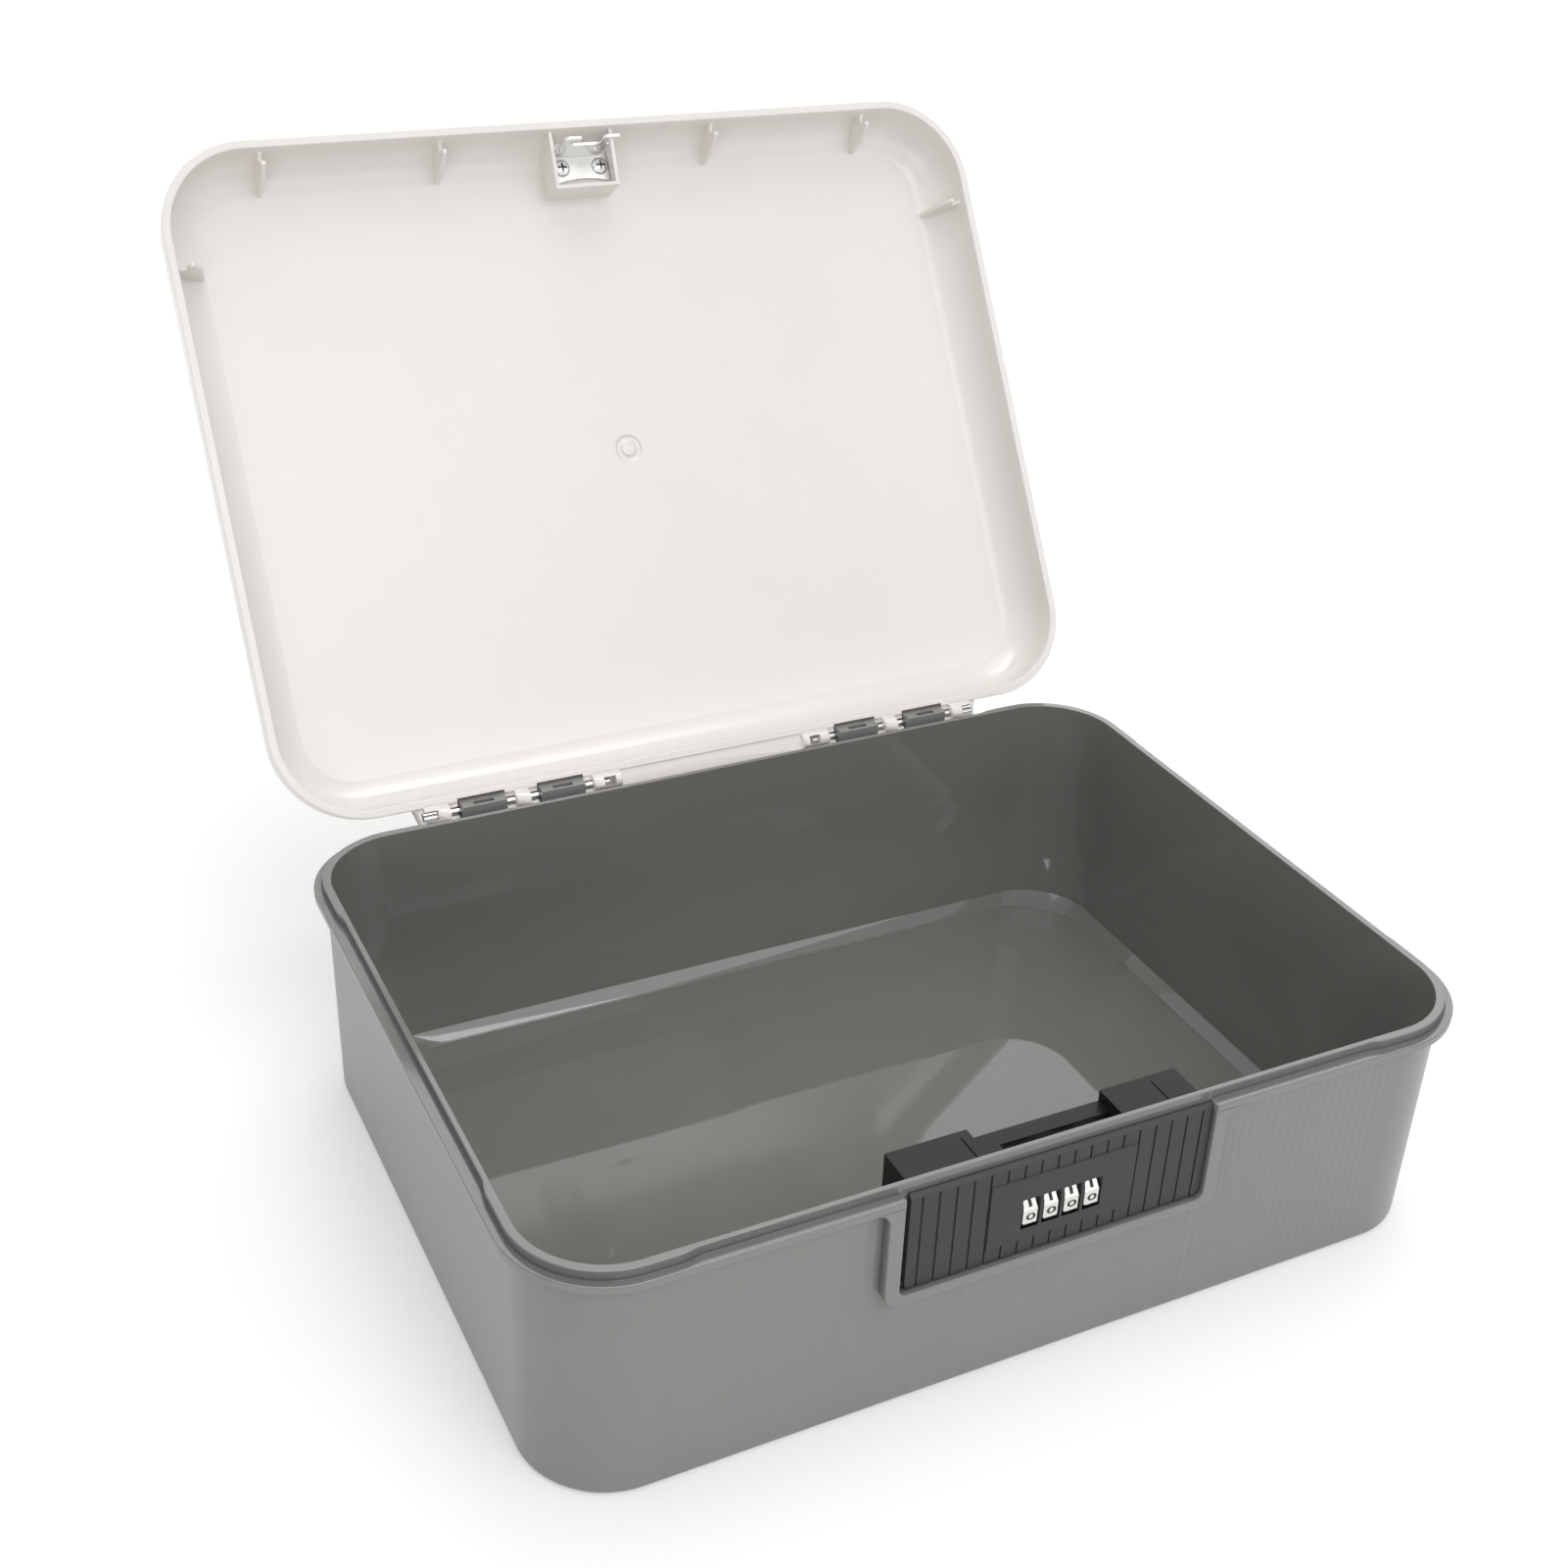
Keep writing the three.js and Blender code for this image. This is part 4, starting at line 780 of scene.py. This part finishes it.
def makeLid(look):
    # every row is an offset and a height, as in the tub, and the panel and the crown fall with the
    # square of the share; round the ears the skirt gives way in windows, circles about the pin with
    # sudden ends
    windowEnds = bothEnds(look["windowHalf"], (-hairline, hairline))
    cuts = [ear + end for ear in hinge["ears"] for end in windowEnds]
    frontX = places(-straightX, straightX, look["sideStep"])
    backX = places(-straightX, straightX, look["sideStep"], cuts)
    sideY = places(-straightY, straightY, look["sideStep"])
    base, normal = mouthLoop(frontX, backX, sideY)
    x = base[:, 0]
    inWindow = (normal[:, 1] > squareOn) & np.any(
        [np.abs(x - ear) < look["windowHalf"] for ear in hinge["ears"]], axis=0)
    rows = []

    def row(offset, z, share=1.0):
        offset = np.broadcast_to(offset, x.shape).astype(float)
        rise = z - hinge["z"]
        if abs(rise) < look["windowRadius"] and share == 1.0:
            limit = hinge["y"] - halfY - math.sqrt(look["windowRadius"] ** 2 - rise ** 2)
            offset = np.where(inWindow, np.minimum(offset, limit), offset)
        rows.append((offset, z, share, (0, 0)))

    inTurn = math.radians(look["innerTurn"])
    inCentre = look["skirt"] - look["draft"] - look["innerRound"]
    inFoot = look["panel"] - look["innerRound"] * math.sin(inTurn)
    inShoulder = inCentre + look["innerRound"] * math.cos(inTurn)
    for share in look["panelShares"]:
        row(inShoulder, look["panel"] + look["crown"] * (1 - share ** 2), share)
    crease = len(rows)
    for angle in np.linspace(inTurn, 0, 15):
        row(inCentre + look["innerRound"] * math.cos(angle), inFoot + look["innerRound"] * math.sin(angle))
    edge, rim = look["edge"], look["rim"]
    for z in look["innerRows"]:
        row(look["skirt"] - look["draft"] * (z - rim) / (inFoot - rim), z)
    for angle in turnDegrees(180, 270, 5):
        row(look["skirt"] + edge + edge * math.cos(angle), rim + edge + edge * math.sin(angle))
    for angle in turnDegrees(270, 360, 5):
        row(look["reach"] - edge + edge * math.cos(angle), rim + edge + edge * math.sin(angle))
    outCentreZ = look["edgeHeight"] - look["outerRound"]
    outCentre = look["reach"] - look["draft"] - look["outerRound"]
    for z in look["outerRows"]:
        row(look["reach"] - look["draft"] * (z - rim - edge) / (outCentreZ - rim - edge), z)
    for angle in turnDegrees(0, 90, 24):
        row(outCentre + look["outerRound"] * math.cos(angle),
            outCentreZ + look["outerRound"] * math.sin(angle))
    for share in look["crownShares"]:
        row(outCentre, look["edgeHeight"] + look["crown"] * (1 - share ** 2), share)
    # the middle of the panel: circles round the moulding gate, along the same directions, in its
    # section of a flat nub, a sunk ring and a slight fall to the panel's curve
    around = base / np.linalg.norm(base, axis=1, keepdims=True)
    middle = look["panel"] + look["crown"]
    shoulder = [*look["gateEdge"], (-0.05, look["gateDepth"])]
    gate = [(look["gateCore"], 0)]
    gate += [(look["gateNub"] - out, depth) for out, depth in shoulder]
    gate += [(look["gateRadius"] + out, depth) for out, depth in shoulder[::-1]]
    gate += look["gateApron"]
    circles = np.empty((len(gate), len(base), 3))
    for index, (radius, depth) in enumerate(gate):
        circles[index, :, :2] = around * radius
        circles[index, :, 2] = middle + depth
    points = np.concatenate([circles, loopRows(base, normal, rows)])
    count = len(base)
    faces = gridQuads(len(points), count).reshape(-1, 4).tolist()
    faces += [list(range(count))[::-1], [(len(points) - 1) * count + c for c in range(count)]]
    flat = points.reshape(-1, 3)
    lid = meshObject("lidMoulding", flat, facesOutward(flat, faces), [whitePlastic])
    first = (crease + len(gate)) * count
    markSharp(lid.data, [(first, first + count)])
    weighNormals(lid)
    return lid


lidMoulding = makeLid(lidLook)

# Hinge rail: a hood over a barrel, with windows for the ears and the pins.
railLook = {
    "half": 126.5, "root": 132.4, "floorDrop": 0.3, "radius": 6.7, "rise": 2.4, "edge": 0.3,
    "arcFrom": -2.5, "arcTo": 105, "taper": 3.0, "taperRoot": 133.8,
    "webStart": 132.8, "webDrop": 1.0, "barrelRadius": 3.1, "barrelStart": 41.3,
    "earWindowHalf": 9.8, "earWindowRadius": 4.9, "earWindowTop": 92.5,
    "pinWindowHalf": 1.7, "pinWindowHead": 2.0, "pinReach": 13.6,
    "innerPin": (43.9, 49.0), "outerPin": (118.3, 124.6),
}


def makeRail(look):
    # the hood's side outline is an arc about the pin, drawn along x, with barrels joined on and windows cut
    y, z, half = hinge["y"], hinge["z"], look["half"]
    floor = z - look["floorDrop"]
    below = floor - look["radius"]
    top = z + look["radius"] + look["rise"]
    hood = arcPoints(y, z, look["radius"], look["arcFrom"], look["arcTo"], 40).tolist()
    outline = [(look["root"], floor)] + hood + [(look["root"], top)]
    rail = prismObject("hingeRail", outline, -half, half, 0, [whitePlastic])
    joins, cuts = [], []
    past = y + look["radius"] + overrun
    pinLow, pinHigh = y - look["pinWindowHalf"], y + look["pinWindowHalf"]
    pinTop = z + look["pinWindowHead"]
    for side in (-1, 1):
        low, high = sorted((side * look["barrelStart"], side * (half - look["taper"])))
        barrel = roundOutline(y, z, look["barrelRadius"])
        joins.append(prismObject("join", barrel, low, high, 0, [whitePlastic]))
        joins.append(boxObject("join", (low, look["webStart"], lidLook["rim"]),
                               (high, y, z + look["barrelRadius"] - look["webDrop"]), [whitePlastic]))
        taper = [(side * half, look["taperRoot"]), (side * (half - look["taper"]), past),
                 (side * (half + look["taper"]), past), (side * (half + look["taper"]), look["taperRoot"])]
        cuts.append(prismObject("cut", taper, below, top + overrun, 2, [whitePlastic]))
        for pin in (look["innerPin"], look["outerPin"]):
            low, high = sorted(side * end for end in pin)
            cuts.append(boxObject("cut", (low, pinLow, below), (high, pinHigh, pinTop), [whitePlastic]))
    for ear in hinge["ears"]:
        low, high = ear - look["earWindowHalf"], ear + look["earWindowHalf"]
        window = roundOutline(y, z, look["earWindowRadius"], 72)
        cuts.append(prismObject("cut", window, low, high, 0, [whitePlastic]))
        cuts.append(boxObject("cut", (low, y, below), (high, past, look["earWindowTop"]), [whitePlastic]))
        low, high = ear - look["pinReach"], ear + look["pinReach"]
        cuts.append(boxObject("cut", (low, pinLow, below), (high, pinHigh, pinTop), [whitePlastic]))
        cuts.append(boxObject("cut", (low, y - look["radius"], below), (high, y + look["radius"], floor),
                              [whitePlastic]))
    combine(rail, joins, "UNION")
    combine(rail, cuts, "DIFFERENCE")
    cleanMesh(rail)
    roundEdges(rail, look["edge"], 2, 35)
    return rail


hingeRail = makeRail(railLook)

# Ribs inside the skirt, each with a notch that straddles the tub's lip.
ribLook = {
    "half": 0.9, "frontX": (-133.0, -60.0, 60.0, 133.0), "sideY": -87.5, "edge": 0.35,
    "profile": ((-4.4, 4.6), (-2.8, 4.6), (-0.95, 6.6), (0.9, 5.6), (0.93, 2.475), (1.767, 1.19),
                (3.07, 1.395), (4.93, 4.5), (7.53, 10.575), (9.3, 22.3), (3.0, 21.0), (-1.0, 17.5),
                (-4.4, 8.5)),
}


def makeRibs(look):
    # the profile is (inwards from the mouth, up from the rim), in four ribs along the front and one
    # on each side
    inwards, up = np.array(look["profile"]).T + [[0], [lidLook["rim"]]]
    runs = [(np.stack([inwards - halfY, up], axis=1), x, 0) for x in look["frontX"]]
    runs += [(np.stack([side * (halfX - inwards), up], axis=1), look["sideY"], 1) for side in (-1, 1)]
    ribs = []
    for index, (outline, middle, axis) in enumerate(runs):
        low, high = middle - look["half"], middle + look["half"]
        ribs.append(prismObject("skirtRib%d" % (index + 1), outline, low, high, axis, [whitePlastic]))
        roundEdges(ribs[-1], look["edge"], 2, 20)
    return ribs


# Strike boss with its open pocket.
bossLook = {
    "half": 14.0, "front": -130.6, "back": -107.7, "frontRim": 94.0, "backRim": 97.3, "top": 113.0,
    "wall": 1.5, "edge": 0.28, "pocketFront": -130.9, "pocketLow": 90.0, "seat": 103.4,
    "screwX": 8.5, "screwY": -117.6, "bore": 1.46, "boreDepth": 7.5,
    "shoulder": [(-120.5, 113.0), (-127.0, 108.5), (-129.6, 104.0), (-130.6, 99.0)],
}


def makeBoss(look):
    # a side outline drawn along x, hollowed from its rim, with a blind bore for each screw
    outline = [(look["front"], look["frontRim"]), (look["back"], look["backRim"]),
               (look["back"], look["top"]), *look["shoulder"]]
    boss = prismObject("strikeBoss", outline, -look["half"], look["half"], 0, [whitePlastic])
    inner = look["half"] - look["wall"]
    seat = look["seat"]
    cuts = [boxObject("cut", (-inner, look["pocketFront"], look["pocketLow"]),
                      (inner, look["back"] - look["wall"], seat), [whitePlastic])]
    for side in (-1, 1):
        bore = roundOutline(side * look["screwX"], look["screwY"], look["bore"], 24)
        cuts.append(prismObject("cut", bore, seat - overrun, seat + look["boreDepth"], 2, [whitePlastic]))
    combine(boss, cuts, "DIFFERENCE")
    cleanMesh(boss)
    roundEdges(boss, look["edge"], 2, 35)
    return boss


lidPieces = [lidMoulding, hingeRail, makeBoss(bossLook)] + makeRibs(ribLook)
for piece in lidPieces:
    turnLid(piece)
    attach(piece, "lid")
    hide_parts("lid_shell")
print("lid made:", len(lidPieces), "pieces")

# Strike screws: a turned dome on a shank, with a cross cut into the dome, whose faces take a darker steel as
# painted shade.
strikeScrewLook = {
    "x": 8.5, "y": -117.6, "z": 102.03, "crossLong": 1.95, "crossWide": 0.42, "crossDeep": 1.15,
    "profile": ((7.5, nearAxis), (7.5, 1.0), (7.1, 1.4), (0.0, 1.4), (0.0, 3.4), (-0.1, 3.55), (-0.3, 3.6),
                (-0.6, 3.5), (-0.95, 3.2), (-1.25, 2.7), (-1.48, 2.0), (-1.62, 1.2), (-1.69, 0.5),
                (-1.7, nearAxis)),
}


def makeStrikeScrew(look, side, name):
    # the profile is (along the axis from the seat, radius), and its last point is the dome's tip
    x, y, tip = side * look["x"], look["y"], look["z"] + look["profile"][-1][0]
    screw = turnedBar(name, look["profile"], (x, y, look["z"]), 2, [brightSteel], 48)
    long, wide, deep = look["crossLong"], look["crossWide"], look["crossDeep"]
    # the cutters' darker steel goes over onto the cross's faces, as painted shade in the recess
    cuts = [boxObject("cut", (x - a, y - b, tip - overrun), (x + a, y + b, tip + deep), [recessShadeSteel])
            for a, b in ((long, wide), (wide, long))]
    combine(screw, cuts, "DIFFERENCE")
    turnLid(screw)
    shadeSmooth(screw)
    weighNormals(screw)
    screw.data.set_sharp_from_angle(angle=math.radians(35))
    return screw


for side, hand in ((1, "right"), (-1, "left")):
    screw = makeStrikeScrew(strikeScrewLook, side, "strikeScrew" + hand.capitalize())
    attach(screw, "lid")
    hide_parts("strike_screw_" + hand)
print("strike screws made")

# Crisp pieces: the frame's own solids, merged, with their edges rounded.
crispPieces = [
    # node, name, finish, slot, body, edge width, least turn of an edge that is rounded
    ("lock_face", "slidingFace", blackFace, "black_plastic", "slider", 0.14, 30),
    ("lock_housing", "lockHousing", blackHousing, "black_plastic", "tub", 0.16, 30),
    ("latch_strip", "latchStrip", brightZinc, "zinc_plated_steel", "slider", 0.10, 30),
    ("strike_plate", "strikePlate", brightZinc, "zinc_plated_steel", "lid", 0.15, 30),
]
for index in range(1, 5):
    dial = "dial_%d" % index
    crispPieces.append((dial, "dialWheel%d" % index, dialMetal, "bright_dial", dial, 0.12, 25))
steelPieces = ["housing_screw_%d" % index for index in range(1, 5)] + ["dial_shaft", "detent_comb"]
steelPieces += [name + hand for name in ("latch_screw", "shaft_clip", "hinge_pin", "strike_screw")
                for hand in ("_right", "_left")]


def setFinish(mesh, finish):
    mesh.materials.clear()
    mesh.materials.append(finish)


def roundedCopy(node, name, finish, slot, body, width, angle):
    # a merged copy of the frame's solid takes the finish and a round edge of the given width
    mesh = nodes[node].data.copy()
    mesh.name = name
    setFinish(mesh, finish)
    thing = linked(bpy.data.objects.new(name, mesh))
    cleanMesh(thing, dissolve=0.4)
    roundEdges(thing, width, 2, angle)
    thing.modifiers["roundEdges"].use_clamp_overlap = False
    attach(thing, body)
    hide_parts(node)


for piece in crispPieces:
    roundedCopy(*piece)
for node in steelPieces:
    setFinish(nodes[node].data, brightSteel)
print("lock, dials and strike made")

# Digits painted on the ten flats of each dial. The font's capitals are 0.7 of its size high.
digitLook = {
    "flat": 8.3, "axisY": -123.9, "axisZ": 66.8, "xs": (-10.45, -2.75, 4.95, 12.65),
    "proud": 0.02, "thick": 0.03, "weight": 0.06, "oneWeight": 0.16, "capitals": 0.7,
    "size": (2.3, 3.4), "zeroSize": (3.5, 2.7), "oneSize": (1.2, 3.4),
}


def digitMesh(text, look):
    # the font's outline, thickened a little and made a mesh
    letter = bpy.data.curves.new("digit", "FONT")
    letter.body = text
    letter.align_x = "CENTER"
    letter.align_y = "CENTER"
    letter.size = look["size"][1] / look["capitals"]
    letter.offset = look["oneWeight"] if text == "1" else look["weight"]
    letter.extrude = look["thick"]
    letter.resolution_u = 4
    holder = linked(bpy.data.objects.new("digit", letter))
    bpy.context.view_layer.update()
    mesh = bpy.data.meshes.new_from_object(holder.evaluated_get(bpy.context.evaluated_depsgraph_get()))
    bpy.data.objects.remove(holder)
    bpy.data.curves.remove(letter)
    return mesh


def makeDigits(look):
    # each digit is centred, scaled to its size and laid on its flat: the dial's axis plus the flat's distance
    # along the way out, which turns by 36 degrees from one digit to the next
    meshes = [digitMesh(str(digit), look) for digit in range(10)]
    sizes = [look["zeroSize"], look["oneSize"]] + [look["size"]] * 8
    for index, x in enumerate(look["xs"]):
        points, faces = [], []
        start = 0
        for digit, mesh in enumerate(meshes):
            own = np.empty(len(mesh.vertices) * 3)
            mesh.vertices.foreach_get("co", own)
            own = own.reshape(-1, 3)
            own[:, 0] -= (own[:, 0].min() + own[:, 0].max()) / 2
            own[:, 1] -= (own[:, 1].min() + own[:, 1].max()) / 2
            own[:, :2] *= sizes[digit] / np.ptp(own[:, :2], axis=0)
            turn = math.radians(36 * digit)
            across = np.array([1, 0, 0])
            up = np.array([0, math.sin(turn), math.cos(turn)])
            out = np.array([0, -math.cos(turn), math.sin(turn)])
            centre = np.array([x, look["axisY"], look["axisZ"]]) + out * (look["flat"] + look["proud"])
            points.append(centre + own[:, :1] * across + own[:, 1:2] * up + own[:, 2:] * out)
            faces += [[start + v for v in face.vertices] for face in mesh.polygons]
            start += len(own)
        name = "dialDigits%d" % (index + 1)
        digits = meshObject(name, np.concatenate(points), faces, [digitInk], smooth=False)
        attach(digits, "dial_%d" % (index + 1))


makeDigits(digitLook)
print("digits made")

# Stage and light, with sizes and places in metres but for the floor's drop, and powers in watts.
stageLook = {
    "size": 14.0, "drop": -0.03, "floor": (236, 236, 235), "roughness": 0.85, "shine": 0.1,
    "glowNear": 0.30, "glowFar": 0.65, "near": 0.30, "far": 1.1, "skyDiffuse": 0.50,
}
lampAim = (0, 0, 0.08)
lampLook = {
    "front": {"place": (0.2, -2.0, 1.9), "size": (1.6, 1.1), "power": 14.8},
    "right": {"place": (1.6, -1.6, 1.5), "size": (1.4, 1.1), "power": 5.5},
    "top": {"place": (0.1, 0.1, 2.4), "size": (1.6, 1.6), "power": 15.0},
    "back": {"place": (1.0, 1.5, 1.5), "size": (2.0, 1.2), "power": 9.0},
    "lowLeft": {"place": (-1.5, -2.0, 0.5), "size": (1.4, 0.8), "power": 8.0},
    # a card over the open box that shows in glossy faces alone
    "sheen": {"place": (0.115, 0.37, 1.0), "size": (0.62, 0.30), "power": 2.7, "spin": 30},
}


def seenDirectly(tree):
    # 1 to the camera, to reflections and through glass, and 0 for light that falls on things
    path = tree.nodes.new("ShaderNodeLightPath")
    seen = path.outputs["Is Camera Ray"]
    for kind in ("Is Glossy Ray", "Is Transmission Ray"):
        either = newNode(tree, "ShaderNodeMath", {"operation": "MAXIMUM"})
        tree.links.new(seen, either.inputs[0])
        tree.links.new(path.outputs[kind], either.inputs[1])
        seen = either.outputs["Value"]
    return seen


def makeFloor(look):
    # a square sheet, whose glow grows with the distance from the middle of the box
    half = look["size"] / 2 / mm
    corners = [(x, y, look["drop"]) for x, y in ((-half, -half), (half, -half), (half, half), (-half, half))]
    floor = meshObject("floor", corners, [[0, 1, 2, 3]], [])
    material = bpy.data.materials.new("floorPaper")
    material.use_nodes = True
    tree = material.node_tree
    surface = tree.nodes["Principled BSDF"]
    surface.inputs["Base Color"].default_value = tint(*look["floor"])
    surface.inputs["Roughness"].default_value = look["roughness"]
    surface.inputs["Specular IOR Level"].default_value = look["shine"]
    surface.inputs["Emission Color"].default_value = (1, 1, 1, 1)
    place = tree.nodes.new("ShaderNodeTexCoord")
    away = newNode(tree, "ShaderNodeVectorMath", {"operation": "LENGTH"})
    level = newNode(tree, "ShaderNodeMapRange", From_Min=look["near"], From_Max=look["far"],
                    To_Min=look["glowNear"], To_Max=look["glowFar"])
    glow = newNode(tree, "ShaderNodeMath", {"operation": "MULTIPLY"})
    tree.links.new(place.outputs["Object"], away.inputs[0])
    tree.links.new(away.outputs["Value"], level.inputs["Value"])
    tree.links.new(level.outputs["Result"], glow.inputs[1])
    tree.links.new(seenDirectly(tree), glow.inputs[0])
    tree.links.new(glow.outputs["Value"], surface.inputs["Emission Strength"])
    floor.data.materials.append(material)


def makeSky(look):
    # white where it is seen directly, and a plain level for the light that it gives
    world = bpy.data.worlds.new("studio")
    world.use_nodes = True
    tree = world.node_tree
    sky = tree.nodes["Background"]
    sky.inputs["Color"].default_value = (1, 1, 1, 1)
    level = newNode(tree, "ShaderNodeMapRange", To_Min=look["skyDiffuse"], To_Max=1.0)
    tree.links.new(seenDirectly(tree), level.inputs["Value"])
    tree.links.new(level.outputs["Result"], sky.inputs["Strength"])
    bpy.context.scene.world = world


def makeLamps(looks):
    # every lamp looks at the aim, but the card faces down, turned about z by its spin
    for name, look in looks.items():
        lamp = bpy.data.lights.new(name, "AREA")
        lamp.shape = "RECTANGLE"
        lamp.size, lamp.size_y = look["size"]
        lamp.energy = look["power"]
        holder = linked(bpy.data.objects.new(name, lamp))
        holder.location = look["place"]
        aim = Vector(lampAim) - Vector(look["place"])
        holder.rotation_euler = aim.to_track_quat("-Z", "Y").to_euler()
        if "spin" in look:
            holder.rotation_euler = (0, 0, math.radians(look["spin"]))
            holder.visible_diffuse = False


makeFloor(stageLook)
makeSky(stageLook)
makeLamps(lampLook)
bpy.context.scene.view_settings.view_transform = "Standard"
print("stage and lamps set")
